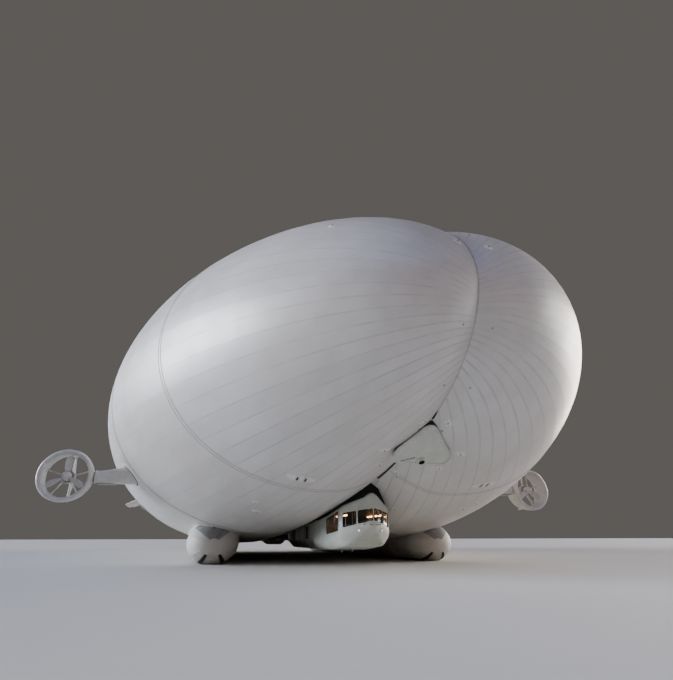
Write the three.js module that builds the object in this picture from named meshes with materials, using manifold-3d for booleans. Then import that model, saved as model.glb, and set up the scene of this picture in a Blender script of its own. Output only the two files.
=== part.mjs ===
// Twin-lobed hybrid airship, parked on its two air-cushion skids, as a 1:10 scale model.
// Every size below is in metres of the full-size ship; the group at the end scales them to millimetres
// of the model. +Z is up, the nose points along -Y, and port is +X. The origin lies on the ground
// under the middle of the ship.
import * as THREE from "three";
import { mergeVertices } from "three/addons/utils/BufferGeometryUtils.js";
import Module from "manifold-3d";

const wasm = await Module();
wasm.setup();

const MODEL_SCALE = 1 / 10;
const SHIP_LENGTH = 92;
const FIT_GAP = 0.004; // between pieces that touch
const RUN_GAP = 0.07; // round pieces that move
const PIN_GAP = 0.01; // round a pin in its bore
const FULL_TURN = 2 * Math.PI;
const SIDES = [
  ["starboard", -1],
  ["port", 1],
];

// The hull is two lobes side by side. Each lobe's section is an ellipse whose lower inner quarter is
// pinched towards the groove between the lobes.
const HULL = {
  noseY: -46,
  widestY: -10.03,
  tailY: 42.1,
  halfWidth: 13.133,
  halfHeight: 10.973,
  pinch: 0.399,
  tilt: THREE.MathUtils.degToRad(-3.694),
  axisX: 5.61,
  axisZ: 12.302,
  noseX: 1.56,
  noseZ: 11.626,
  noseRise: 1.989,
  noseFullness: 2.121,
  tailFullness: 0.62,
  tailLift: 2.0,
  shell: 0.1,
  ventY: -8,
  ventSize: 0.6,
};
const HULL_SIDES = 28;
const NOSE_STATIONS = [0.006, 0.03, 0.08, 0.16, 0.27, 0.4, 0.55, 0.75];
const TAIL_STATIONS = [0, 0.22, 0.4, 0.55, 0.68, 0.79, 0.88, 0.945, 0.985];

// The triangular mooring panel under the nose, station by station, and the socket on its aft facet.
const PANEL = {
  thick: 0.16,
  stations: [
    { y: -40.7, half: 0.22, z: 6.62 },
    { y: -40.2, half: 0.75, z: 6.13 },
    { y: -39.5, half: 1.6, z: 5.45 },
    { y: -39.05, half: 1.25, z: 5.18 },
  ],
};
const SOCKET = { y: -39.28, outer: 0.23, bore: 0.15, depth: 0.08, reach: 0.16, taper: 0.9 };

// Each gondola piece under the hull: y of its nose and tail, half width and floor heights there.
const GONDOLA = {
  mid_body_module: { y: [-24.4, -14.1], half: 1.55, floor: [0.95, 0.95] },
  payload_beam: { y: [-13.95, 2.9], half: 0.95, floor: [1.45, 1.6] },
  fuel_module: { y: [3.05, 12.4], half: 1.5, floor: [1.0, 1.6] },
};
const GONDOLA_CHAMFER = 0.55;
const GONDOLA_ROOF_GAP = 0.14;
const GONDOLA_RINGS = 4;

// Stations of the flight deck from its nose to its back wall: y, half width at the waist, half width
// of the floor, floor height, waist height, eaves height and ridge height.
const DECK_STATIONS = [
  { y: -32.6, waist: 0.3, sole: 0.2, floor: 2.3, bend: 2.62, eaves: 4.08, ridge: 4.25 },
  { y: -31.0, waist: 1.66, sole: 1.2, floor: 1.22, bend: 1.8, eaves: 3.42, ridge: 4.36 },
  { y: -27.9, waist: 1.66, sole: 1.32, floor: 0.98, bend: 1.32, eaves: 3.0, ridge: 4.1 },
  { y: -24.55, waist: 1.66, sole: 1.32, floor: 0.95, bend: 1.28, eaves: 2.72, ridge: 3.84 },
];
const DECK_WALL = { thick: 0.12, glassOuter: 0.035, glassInner: 0.075 };
// How much of the wall's thickness the sloped edges of the section take up.
const SLOPE_INSET = { sole: 0.6, bend: 0.4, eaves: 0.6 };

// Each window: its outline on the port side as [x, z] or [y, z] points, the axis that it is cut
// along, and how far the cut reaches. The starboard side mirrors it.
const WINDOWS = [
  {
    name: "windscreen",
    outline: [[0.06, 2.66], [0.78, 2.5], [0.78, 3.2], [0.06, 3.3]],
    axis: "y",
    reach: [-33, -31.2],
  },
  {
    name: "quarter_window",
    outline: [[0.88, 2.48], [1.48, 2.3], [1.48, 3.08], [0.88, 3.18]],
    axis: "y",
    reach: [-33, -30.8],
  },
  {
    name: "side_window",
    outline: [[-30.7, 2.12], [-28.1, 1.95], [-28.1, 2.85], [-30.7, 3.2]],
    axis: "x",
    reach: [1.2, 2.2],
  },
];
const DOOR = { foreY: -27.75, aftY: -26.85, low: 1.37, high: 2.66, edge: 0.06, reach: [0.9, 2.2] };
const DOOR_WINDOW = { margin: 0.2, low: 1.85, high: 2.48, reach: [1.2, 2.2] };

const SEAT = {
  x: 0.62,
  y: -29.7,
  floor: 1.275,
  width: 0.52,
  depth: 0.5,
  height: 0.45,
  back: 0.75,
  cushion: 0.12,
  post: 0.14,
};
// The instrument console's outline, [y, z], carried across the cabin.
const CONSOLE = {
  half: 1.1,
  outline: [[-30.6, 1.36], [-30.35, 1.36], [-30.35, 1.95], [-30.6, 2.2], [-31.1, 2.28], [-31.1, 2.1]],
};

// The skids are long inflated tubes with round noses, flat where they stand on the ground.
const SKID = {
  x: 8.72,
  halfWidth: 1.87,
  halfHeight: 1.45,
  axisZ: 1.38,
  noseY: -24.2,
  noseLength: 1.9,
  tailY: 18.2,
  tailLength: 3.6,
  sides: 16,
};
// Where the rings of a skid's round ends stand, as angles from the tip to the full section.
const SKID_TURNS = [0.12, 0.4, 0.75, 1.15, Math.PI / 2];
const SKID_MIDDLE = [0.25, 0.5, 0.75];

const DUCT = {
  outer: 1.772,
  throat: 1.44,
  lipY: -0.82,
  endY: 0.82,
  sides: 28,
  struts: 5,
  strutY: 0.44,
  strutChord: 0.34,
  strutThick: 0.07,
  collar: 0.45,
  collarHalf: 0.2,
};
// The duct's closed section, from the throat over the bell mouth and back along the outside.
const DUCT_SECTION = [
  { radius: DUCT.throat, y: -0.3 },
  { radius: DUCT.throat + 0.07, y: -0.66 },
  { radius: DUCT.throat + 0.16, y: DUCT.lipY },
  { radius: DUCT.outer - 0.06, y: DUCT.lipY + 0.03 },
  { radius: DUCT.outer, y: DUCT.lipY + 0.22 },
  { radius: DUCT.outer - 0.04, y: 0 },
  { radius: DUCT.throat + 0.15, y: DUCT.endY },
  { radius: DUCT.throat + 0.08, y: DUCT.endY },
  { radius: DUCT.throat, y: 0.2 },
];
// The two arms behind each duct hold the vane's pins.
const VANE_ARM = { halfWidth: 0.09, inside: DUCT.throat + 0.06, thick: 0.11, overlap: 0.5, past: 0.12 };
const VANE = {
  hingeY: 1.5,
  leadY: 1.3,
  tailY: 2.35,
  half: 1.4,
  tipHalf: 0.3,
  thick: 0.12,
  leadThick: 0.05,
  tailThick: 0.03,
  pin: 0.05,
  pinReach: DUCT.throat + 0.15,
};
const NACELLE = { radius: 0.36, faceY: 0.19, shoulderY: 0.81, endY: 1.17, shaft: 0.12, shaftY: -0.04 };
const NACELLE_TAIL = { front: 0.14, rear: NACELLE.radius };
const PROPELLER = { radius: 1.365, blades: 3, bladeY: -0.2, sides: 6 };
// Blade sections from root to tip: radius, chord, thickness and pitch in degrees.
const BLADE_SECTIONS = [
  { at: 0.24, chord: 0.36, thick: 0.13, pitch: 62 },
  { at: 0.55, chord: 0.5, thick: 0.09, pitch: 47 },
  { at: 0.95, chord: 0.54, thick: 0.07, pitch: 34 },
  { at: 1.25, chord: 0.46, thick: 0.05, pitch: 27 },
  { at: PROPELLER.radius, chord: 0.3, thick: 0.03, pitch: 24 },
];
// The spinner's profile from its nose to the bore that takes the engine's shaft.
const SPINNER_PROFILE = [
  { radius: 0, y: -0.66 },
  { radius: 0.13, y: -0.61 },
  { radius: 0.25, y: -0.44 },
  { radius: 0.31, y: -0.24 },
  { radius: 0.31, y: 0.12 },
  { radius: NACELLE.shaft + PIN_GAP, y: 0.12 },
  { radius: NACELLE.shaft + PIN_GAP, y: -0.06 },
  { radius: 0, y: -0.06 },
];

const FRONT_DUCT = { x: 19.242, y: -22.437, z: 5.742 };
const REAR_DUCT = { x: HULL.axisX, y: SHIP_LENGTH / 2 - VANE.tailY, z: HULL.axisZ + HULL.tailLift };
// The trunnion on the duct's inboard side turns in the socket at the pylon's outer end.
const TRUNNION = { radius: 0.28, from: 1.6, to: 2.25, endGap: 0.06 };
const PYLON = {
  endReach: 1.9,
  endRadius: 0.44,
  rootX: 13.6,
  rootZ: 6.35,
  rootHalfY: 1.75,
  rootHalfZ: 1.05,
  flare: 1.6,
  sides: 16,
  stations: [0, 0.35, 0.7, 1],
};
// The stern cone's profile, measured forwards from the engine's face.
const CONE_PROFILE = [
  { radius: 2.2, ahead: 3.6 },
  { radius: 1.6, ahead: 2.2 },
  { radius: 0.8, ahead: 0.7 },
  { radius: NACELLE.radius, ahead: 0 },
];

// Four tail fins: the point where each one's span starts on its lobe's axis and where its tip lies,
// then the y of its leading edge, hinge line and trailing edge at the root and at the tip.
const FINS = [
  {
    name: "upper",
    tip: [13.88, 25.86],
    start: 4.9,
    lead: [22.5, 30.2],
    hinge: [34.6, 36.0],
    trail: [38.6, 39.4],
  },
  {
    name: "lower",
    tip: [21.65, 7.15],
    start: 5.6,
    lead: [21.8, 30.0],
    hinge: [34.0, 35.6],
    trail: [38.2, 39.2],
  },
];
const FIN = {
  axisX: HULL.axisX,
  axisZ: 13.5,
  rootThick: 1.15,
  tipThick: 0.55,
  rootPart: -0.25,
  flapFrom: 0.42,
  flapTo: 0.97,
  noseShare: 0.3,
  trailHalf: 0.03,
  heelOverlap: 0.3,
  heelGap: 0.15,
};
// The fixed fin's section: share of the chord and half thickness as a share of the full thickness.
const FIN_SECTION = [
  { along: 0.06, half: 0.24 },
  { along: 0.4, half: 0.5 },
  { along: 1, half: 0.34 },
];
const FLAP_NOSE_TURNS = [90, 135, 180, 225, 270];
const HINGE_LUG = {
  width: 0.14,
  notch: 0.36,
  eye: 0.15,
  pin: 0.06,
  arm: 0.24,
  overlap: 0.12,
  notchDepth: 0.3,
  places: [0.22, 0.78],
  sides: 10,
};

const COLOURS = {
  fabric: 0xd9d8d3,
  frame: 0x3a3d40,
  cabin: 0xe4e4e0,
  glass: 0x20282c,
  skid: 0xcfcec8,
  duct: 0xc9c8c2,
  engine: 0x55585a,
  blade: 0xbfbfbc,
  fin: 0xd4d3ce,
  seat: 0x30343a,
};
const materials = Object.fromEntries(
  Object.entries(COLOURS).map(([name, color]) => [
    name,
    new THREE.MeshStandardMaterial({
      color,
      roughness: name === "glass" ? 0.08 : 0.55,
      metalness: name === "engine" ? 0.8 : 0,
    }),
  ]),
);

// The full-size ship's group, in metres.
const ship = new THREE.Group();

function vector(x, y, z) {
  return new THREE.Vector3(x, y, z);
}

function mix(pair, t) {
  return pair[0] + (pair[1] - pair[0]) * t;
}

// A closed geometry as a solid: shared corners are merged and flat triangles dropped.
function solid(geometry) {
  const bare = geometry.clone();
  bare.deleteAttribute("normal");
  bare.deleteAttribute("uv");
  const merged = mergeVertices(bare, 1e-6);
  const corners = merged.index.array;
  const kept = [];
  for (let i = 0; i < corners.length; i += 3) {
    const [a, b, c] = corners.slice(i, i + 3);
    if (a !== b && b !== c && c !== a) kept.push(a, b, c);
  }
  const made = (order) =>
    new wasm.Manifold(
      new wasm.Mesh({
        numProp: 3,
        vertProperties: merged.attributes.position.array,
        triVerts: new Uint32Array(order),
      }),
    );
  const body = made(kept);
  return body.volume() > 0 ? body : made(kept.reverse());
}

function centreOf(ring) {
  const sum = ring.reduce((total, point) => total.clone().add(point), vector(0, 0, 0));
  return sum.divideScalar(ring.length);
}

// A solid through rings of points, each ring closed by a fan around a tip at either end.
function loft(rings, tips = [centreOf(rings[0]), centreOf(rings.at(-1))]) {
  const count = rings[0].length;
  const points = [...rings.flat(), ...tips];
  const index = [];
  rings.slice(1).forEach((_, ring) => {
    for (let i = 0; i < count; i++) {
      const a = ring * count + i;
      const b = ring * count + ((i + 1) % count);
      index.push(a, b, b + count, a, b + count, a + count);
    }
  });
  const last = (rings.length - 1) * count;
  for (let i = 0; i < count; i++) {
    const next = (i + 1) % count;
    index.push(next, i, points.length - 2, last + i, last + next, points.length - 1);
  }
  const geometry = new THREE.BufferGeometry().setFromPoints(points);
  geometry.setIndex(index);
  return solid(geometry);
}

function box(low, high) {
  const size = high.map((value, i) => value - low[i]);
  const middle = high.map((value, i) => (value + low[i]) / 2);
  return solid(new THREE.BoxGeometry(...size).translate(...middle));
}

// A solid of revolution about the Y axis; the profile holds [radius, y] pairs.
function turned(profile, sides = 16) {
  return solid(new THREE.LatheGeometry(profile.map(([r, y]) => new THREE.Vector2(r, y)), sides));
}

// A cylinder from one point to another.
function rod(from, to, radius, sides = 16) {
  const along = to.clone().sub(from);
  const geometry = new THREE.CylinderGeometry(radius, radius, along.length(), sides);
  geometry.applyQuaternion(new THREE.Quaternion().setFromUnitVectors(vector(0, 1, 0), along.normalize()));
  return solid(geometry.translate(...from.clone().add(to).divideScalar(2).toArray()));
}

function joined(bodies) {
  return bodies.reduce((all, body) => all.add(body));
}

// The same solid copied evenly round the Y axis.
function aroundAxis(body, count) {
  const made = body.getMesh();
  const geometry = new THREE.BufferGeometry();
  geometry.setAttribute("position", new THREE.BufferAttribute(made.vertProperties, 3));
  geometry.setIndex(new THREE.BufferAttribute(made.triVerts, 1));
  return Array.from({ length: count }, (_, i) => solid(geometry.clone().rotateY((i / count) * FULL_TURN)));
}

function addPiece(name, body, material, parent = ship) {
  const made = body.getMesh();
  const points = new Float32Array(made.numVert * 3);
  for (let i = 0; i < made.numVert; i++) {
    points.set(made.vertProperties.subarray(i * made.numProp, i * made.numProp + 3), i * 3);
  }
  const geometry = new THREE.BufferGeometry();
  geometry.setAttribute("position", new THREE.BufferAttribute(points, 3));
  geometry.setIndex(new THREE.BufferAttribute(made.triVerts, 1));
  geometry.computeVertexNormals();
  const mesh = new THREE.Mesh(geometry, material);
  mesh.name = name;
  parent.add(mesh);
}

// How full a lobe is at y, from 0 at the tips to 1 at the widest section, and where its axis runs.
function lobeAt(y) {
  if (y < HULL.widestY) {
    const left = (HULL.widestY - y) / (HULL.widestY - HULL.noseY);
    const towards = left * left;
    return {
      fullness: Math.max(0, 1 - left ** HULL.noseRise) ** (1 / HULL.noseFullness),
      x: HULL.axisX + (HULL.noseX - HULL.axisX) * towards,
      z: HULL.axisZ + (HULL.noseZ - HULL.axisZ) * towards,
    };
  }
  const gone = (y - HULL.widestY) / (HULL.tailY - HULL.widestY);
  return {
    fullness: Math.max(0, 1 - gone * gone) ** HULL.tailFullness,
    x: HULL.axisX,
    z: HULL.axisZ + HULL.tailLift * gone * gone,
  };
}

// A ring of a lobe's skin at y, grown outwards by a distance.
function lobeRing(side, y, grown) {
  const lobe = lobeAt(y);
  return Array.from({ length: HULL_SIDES }, (_, i) => {
    const angle = (i / HULL_SIDES) * FULL_TURN;
    const inwards = Math.cos(angle) < 0 ? 1 - HULL.pinch * Math.max(0, -Math.sin(angle)) : 1;
    const across = (lobe.fullness * HULL.halfWidth * inwards + grown) * Math.cos(angle);
    const up = (lobe.fullness * HULL.halfHeight + grown) * Math.sin(angle);
    const x = lobe.x + across * Math.cos(HULL.tilt) - up * Math.sin(HULL.tilt);
    return vector(side * x, y, lobe.z + across * Math.sin(HULL.tilt) + up * Math.cos(HULL.tilt));
  });
}

function lobe(side, grown) {
  const stations = [
    ...NOSE_STATIONS.map((part) => mix([HULL.noseY, HULL.widestY], part)),
    ...TAIL_STATIONS.map((part) => mix([HULL.widestY, HULL.tailY], part)),
  ];
  const tips = [HULL.noseY - grown, HULL.tailY + grown].map((y, end) => {
    const axis = lobeAt(end ? HULL.tailY : HULL.noseY);
    return vector(side * axis.x, y, axis.z);
  });
  return loft(stations.map((y) => lobeRing(side, y, grown)), tips);
}

function hullSolid(grown) {
  return lobe(-1, grown).add(lobe(1, grown));
}

// The height of the port lobe's underside at (x, y).
function underside(x, y) {
  const ring = lobeRing(1, y, 0);
  const heights = ring.flatMap((a, i) => {
    const b = ring[(i + 1) % ring.length];
    if ((a.x - x) * (b.x - x) > 0 || a.x === b.x) return [];
    return [a.z + ((x - a.x) / (b.x - a.x)) * (b.z - a.z)];
  });
  return Math.min(...heights);
}

const hullOutside = hullSolid(0);
const hullClear = hullSolid(FIT_GAP);

// The envelope is a shell; a small vent over the payload beam opens its inside.
function addHull() {
  const ventZ = underside(0, HULL.ventY);
  const half = HULL.ventSize / 2;
  const vent = box([-half, HULL.ventY - half, ventZ - 1], [half, HULL.ventY + half, ventZ + 1]);
  const shell = hullOutside.subtract(hullSolid(-HULL.shell)).subtract(vent);
  addPiece("hull_envelope", shell, materials.fabric);
}

// The mooring panel bridges the groove under the nose, and its socket points down and forwards.
function addMooring() {
  const rings = PANEL.stations.map(({ y, half, z }) => [
    vector(-half, y, z),
    vector(half, y, z),
    vector(half, y, z - PANEL.thick),
    vector(-half, y, z - PANEL.thick),
  ]);
  const [fore, aft] = PANEL.stations.slice(-2);
  const along = vector(0, aft.y - fore.y, aft.z - fore.z).normalize();
  const down = vector(0, along.z, -along.y);
  const part = (SOCKET.y - fore.y) / (aft.y - fore.y);
  const seat = vector(0, SOCKET.y, mix([fore.z, aft.z], part) - PANEL.thick);
  const place = new THREE.Quaternion().setFromUnitVectors(vector(0, 1, 0), down);
  const cup = new THREE.LatheGeometry(
    [
      [0, FIT_GAP],
      [SOCKET.outer, FIT_GAP],
      [SOCKET.outer * SOCKET.taper, SOCKET.reach],
      [SOCKET.bore, SOCKET.reach],
      [SOCKET.bore * SOCKET.taper, SOCKET.depth],
      [0, SOCKET.depth],
    ].map(([r, y]) => new THREE.Vector2(r, y)),
    20,
  );
  addPiece("nose_mooring_panel", loft(rings).subtract(hullClear), materials.cabin);
  addPiece("mooring_socket", solid(cup.applyQuaternion(place).translate(...seat.toArray())), materials.frame);
}

// A house-shaped section: floor, chamfered lower edges, upright sides and a ridge.
function houseRing({ y, waist, sole, floor, bend, eaves, ridge }, inset = 0) {
  const half = waist - inset;
  const low = sole - inset * SLOPE_INSET.sole;
  const bendZ = bend + inset * SLOPE_INSET.bend;
  const eavesZ = eaves - inset * SLOPE_INSET.eaves;
  return [
    vector(-low, y, floor + inset),
    vector(low, y, floor + inset),
    vector(half, y, bendZ),
    vector(half, y, eavesZ),
    vector(0, y, ridge - inset),
    vector(-half, y, eavesZ),
    vector(-half, y, bendZ),
  ];
}

function addGondola() {
  for (const [name, piece] of Object.entries(GONDOLA)) {
    const rings = Array.from({ length: GONDOLA_RINGS }, (_, i) => {
      const part = i / (GONDOLA_RINGS - 1);
      const y = mix(piece.y, part);
      const floor = mix(piece.floor, part);
      return houseRing({
        y,
        waist: piece.half,
        sole: piece.half - GONDOLA_CHAMFER,
        floor,
        bend: floor + GONDOLA_CHAMFER,
        eaves: underside(piece.half, y) - GONDOLA_ROOF_GAP,
        ridge: underside(0, y) - GONDOLA_ROOF_GAP,
      });
    });
    addPiece(name, loft(rings), name === "payload_beam" ? materials.frame : materials.cabin);
  }
}

function deckSolid(inset) {
  const ends = { 0: inset, [DECK_STATIONS.length - 1]: -inset };
  return loft(DECK_STATIONS.map((station, i) => houseRing({ ...station, y: station.y + (ends[i] ?? 0) }, inset)));
}

// A window or door cut: an outline of [y, z] or [x, z] points pushed through the wall along X or Y,
// with its corners drawn in by shrink along both edges.
function cutter(outline, axis, [from, to], shrink = 0) {
  const middle = [0, 1].map((i) => outline.reduce((sum, point) => sum + point[i] / outline.length, 0));
  const points = outline.map(([a, b]) => {
    const away = Math.hypot(a - middle[0], b - middle[1]);
    const keep = 1 - (shrink * Math.SQRT2) / away;
    return [middle[0] + (a - middle[0]) * keep, middle[1] + (b - middle[1]) * keep];
  });
  const ring = (depth) => points.map(([a, b]) => (axis === "x" ? vector(depth, a, b) : vector(a, depth, b)));
  return loft([ring(from), ring(to)]);
}

function rectangle(fore, aft, low, high) {
  return [[fore, low], [aft, low], [aft, high], [fore, high]];
}

function addFlightDeck() {
  const wall = deckSolid(0).subtract(deckSolid(DECK_WALL.thick));
  const glass = deckSolid(DECK_WALL.glassOuter).subtract(deckSolid(DECK_WALL.glassInner));
  let shell = wall;
  for (const { name, outline, axis, reach } of WINDOWS) {
    for (const [sideName, side] of SIDES) {
      const mirrored = axis === "x" ? outline : outline.map(([x, z]) => [side * x, z]);
      const span = axis === "x" ? reach.map((x) => side * x) : reach;
      shell = shell.subtract(cutter(mirrored, axis, span));
      addPiece(`${name}_${sideName}`, glass.intersect(cutter(mirrored, axis, span, FIT_GAP)), materials.glass);
    }
  }
  const doorway = cutter(rectangle(DOOR.foreY, DOOR.aftY, DOOR.low, DOOR.high), "x", DOOR.reach);
  const leafOutline = rectangle(
    DOOR.foreY + DOOR.edge,
    DOOR.aftY - DOOR.edge,
    DOOR.low + DOOR.edge,
    DOOR.high - DOOR.edge,
  );
  const { margin, low, high, reach } = DOOR_WINDOW;
  const pane = rectangle(DOOR.foreY + margin, DOOR.aftY - margin, low, high);
  const leaf = wall.intersect(cutter(leafOutline, "x", DOOR.reach)).subtract(cutter(pane, "x", reach));
  addPiece("flight_deck_shell", shell.subtract(doorway), materials.cabin);
  addPiece("crew_door", leaf, materials.cabin);
  addPiece("crew_door_window", glass.intersect(cutter(pane, "x", reach, FIT_GAP)), materials.glass);
}

function addCabinFittings() {
  for (const [sideName, side] of SIDES) {
    const x = side * SEAT.x;
    const half = SEAT.width / 2;
    const fore = SEAT.y - SEAT.depth / 2;
    const aft = SEAT.y + SEAT.depth / 2;
    const top = SEAT.floor + SEAT.height;
    const under = top - SEAT.cushion;
    const seat = joined([
      box([x - SEAT.post, SEAT.y - SEAT.post, SEAT.floor], [x + SEAT.post, SEAT.y + SEAT.post, top]),
      box([x - half, fore, under], [x + half, aft, top]),
      box([x - half, aft - SEAT.cushion, under], [x + half, aft, top + SEAT.back]),
    ]);
    addPiece(`pilot_seat_${sideName}`, seat, materials.seat);
  }
  addPiece("instrument_console", cutter(CONSOLE.outline, "x", [-CONSOLE.half, CONSOLE.half]), materials.frame);
}

// The skids' flat feet carry the parked ship.
function addSkids() {
  const nose = SKID_TURNS.map((turn) => ({
    y: SKID.noseY + SKID.noseLength * (1 - Math.cos(turn)),
    size: Math.sin(turn),
  }));
  const middle = SKID_MIDDLE.map((part) => ({ y: mix([SKID.noseY, SKID.tailY], part), size: 1 }));
  const tail = SKID_TURNS.map((turn) => ({
    y: SKID.tailY - SKID.tailLength * (1 - Math.cos(turn)),
    size: Math.sin(turn),
  }));
  const stations = [...nose, ...middle, ...tail.reverse()];
  for (const [sideName, side] of SIDES) {
    const rings = stations.map(({ y, size }) =>
      Array.from({ length: SKID.sides }, (_, i) => {
        const angle = ((i + 0.5) / SKID.sides) * FULL_TURN;
        const x = side * SKID.x + SKID.halfWidth * size * Math.cos(angle);
        return vector(x, y, Math.max(0, SKID.axisZ + SKID.halfHeight * size * Math.sin(angle)));
      }),
    );
    addPiece(`landing_skid_${sideName}`, loft(rings).subtract(hullClear), materials.skid);
  }
}

// A duct ring with its bell mouth, struts, hub collar and the two arms that carry the vane.
// The struts stand behind the propeller of a tractor unit, and ahead of a pusher's.
function ductBody(flow) {
  const section = [...DUCT_SECTION, DUCT_SECTION[0]].map(({ radius, y }) => [radius, y]);
  const hubY = flow * DUCT.strutY;
  const inner = NACELLE.radius + FIT_GAP;
  const collar = turned([
    [inner, hubY - DUCT.collarHalf],
    [DUCT.collar, hubY - DUCT.collarHalf],
    [DUCT.collar, hubY + DUCT.collarHalf],
    [inner, hubY + DUCT.collarHalf],
    [inner, hubY - DUCT.collarHalf],
  ]);
  const strut = box(
    [-DUCT.strutThick / 2, hubY - DUCT.strutChord / 2, DUCT.collar - DUCT.strutThick],
    [DUCT.strutThick / 2, hubY + DUCT.strutChord / 2, DUCT.throat + DUCT.strutThick / 2],
  );
  const arms = [-1, 1].map((end) => {
    const [low, high] = [end * VANE_ARM.inside, end * (VANE_ARM.inside + VANE_ARM.thick)].sort((a, b) => a - b);
    return box(
      [-VANE_ARM.halfWidth, DUCT.endY - VANE_ARM.overlap, low],
      [VANE_ARM.halfWidth, VANE.hingeY + VANE_ARM.past, high],
    );
  });
  const bore = rod(
    vector(0, VANE.hingeY, -DUCT.outer),
    vector(0, VANE.hingeY, DUCT.outer),
    VANE.pin + PIN_GAP,
    12,
  );
  const ring = turned(section, DUCT.sides);
  return joined([ring, collar, ...aroundAxis(strut, DUCT.struts), ...arms]).subtract(bore);
}

function nacelleBody(tailRadius) {
  return turned([
    [0, NACELLE.shaftY],
    [NACELLE.shaft, NACELLE.shaftY],
    [NACELLE.shaft, NACELLE.faceY],
    [NACELLE.radius, NACELLE.faceY],
    [NACELLE.radius, NACELLE.shoulderY],
    [tailRadius, NACELLE.endY],
    [0, NACELLE.endY],
  ]);
}

function propellerBody() {
  const sections = BLADE_SECTIONS.map(({ at, chord, thick, pitch }) => {
    const turn = THREE.MathUtils.degToRad(pitch);
    return Array.from({ length: PROPELLER.sides }, (_, i) => {
      const angle = (i / PROPELLER.sides) * FULL_TURN;
      const along = (chord / 2) * Math.cos(angle);
      const across = (thick / 2) * Math.sin(angle);
      const x = along * Math.cos(turn) - across * Math.sin(turn);
      return vector(x, PROPELLER.bladeY + along * Math.sin(turn) + across * Math.cos(turn), at);
    });
  });
  const spinner = turned(SPINNER_PROFILE.map(({ radius, y }) => [radius, y]));
  return joined([spinner, ...aroundAxis(loft(sections), PROPELLER.blades)]);
}

// The triangular vane turns on two upright pins behind the duct.
function vaneBody() {
  const ring = (y, height, width) => [
    vector(-width / 2, y, -height),
    vector(width / 2, y, -height),
    vector(width / 2, y, height),
    vector(-width / 2, y, height),
  ];
  const plate = loft([
    ring(VANE.leadY, VANE.half, VANE.leadThick),
    ring(VANE.hingeY, VANE.half, VANE.thick),
    ring(VANE.tailY, VANE.tipHalf, VANE.tailThick),
  ]);
  const pinEnd = (end) => vector(0, VANE.hingeY, end * VANE.pinReach);
  return plate.add(rod(pinEnd(-1), pinEnd(1), VANE.pin, 10));
}

function addPropulsion() {
  const places = [
    { end: "front", place: FRONT_DUCT, flow: 1 },
    { end: "rear", place: REAR_DUCT, flow: -1 },
  ];
  for (const { end, place, flow } of places) {
    for (const [sideName, side] of SIDES) {
      const unit = new THREE.Group();
      unit.position.set(side * place.x, place.y, place.z);
      ship.add(unit);
      const drive = new THREE.Group();
      drive.rotation.z = flow > 0 ? 0 : Math.PI;
      unit.add(drive);
      let duct = ductBody(flow);
      if (end === "front") {
        const inboard = (x) => vector(-side * x, 0, 0);
        duct = duct.add(rod(inboard(TRUNNION.from), inboard(TRUNNION.to), TRUNNION.radius));
      }
      addPiece(`${end}_${sideName}_duct`, duct, materials.duct, unit);
      addPiece(`${end}_${sideName}_vane`, vaneBody(), materials.fin, unit);
      addPiece(`${end}_${sideName}_engine`, nacelleBody(NACELLE_TAIL[end]), materials.engine, drive);
      addPiece(`${end}_${sideName}_propeller`, propellerBody(), materials.blade, drive);
    }
  }
}

// The pylons carry the front ducts.
function addPylons() {
  const endX = FRONT_DUCT.x - PYLON.endReach;
  const stations = PYLON.stations.map((part) => {
    const eased = (1 - part) ** PYLON.flare;
    return {
      x: mix([PYLON.rootX, endX], part),
      z: mix([FRONT_DUCT.z, PYLON.rootZ], eased),
      halfY: mix([PYLON.endRadius, PYLON.rootHalfY], eased),
      halfZ: mix([PYLON.endRadius, PYLON.rootHalfZ], eased),
    };
  });
  for (const [sideName, side] of SIDES) {
    const rings = stations.map(({ x, z, halfY, halfZ }) =>
      Array.from({ length: PYLON.sides }, (_, i) => {
        const angle = (i / PYLON.sides) * FULL_TURN;
        return vector(side * x, FRONT_DUCT.y + halfY * Math.cos(angle), z + halfZ * Math.sin(angle));
      }),
    );
    const at = (x) => vector(side * x, FRONT_DUCT.y, FRONT_DUCT.z);
    const socketEnd = FRONT_DUCT.x - TRUNNION.to - TRUNNION.endGap;
    const socket = rod(at(socketEnd), at(FRONT_DUCT.x), TRUNNION.radius + PIN_GAP);
    addPiece(`front_${sideName}_pylon`, loft(rings).subtract(socket).subtract(hullClear), materials.cabin);
  }
}

// The stern cones carry the rear ducts at the ends of the lobes.
function addSternCones() {
  const end = REAR_DUCT.y - NACELLE.endY - FIT_GAP;
  const outline = CONE_PROFILE.map(({ radius, ahead }) => [radius, end - ahead]);
  const profile = [[0, outline[0][1]], ...outline, [0, end]];
  for (const [sideName, side] of SIDES) {
    const cone = turned(profile).translate([side * REAR_DUCT.x, 0, REAR_DUCT.z]).subtract(hullClear);
    addPiece(`stern_cone_${sideName}`, cone, materials.fabric);
  }
}

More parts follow.
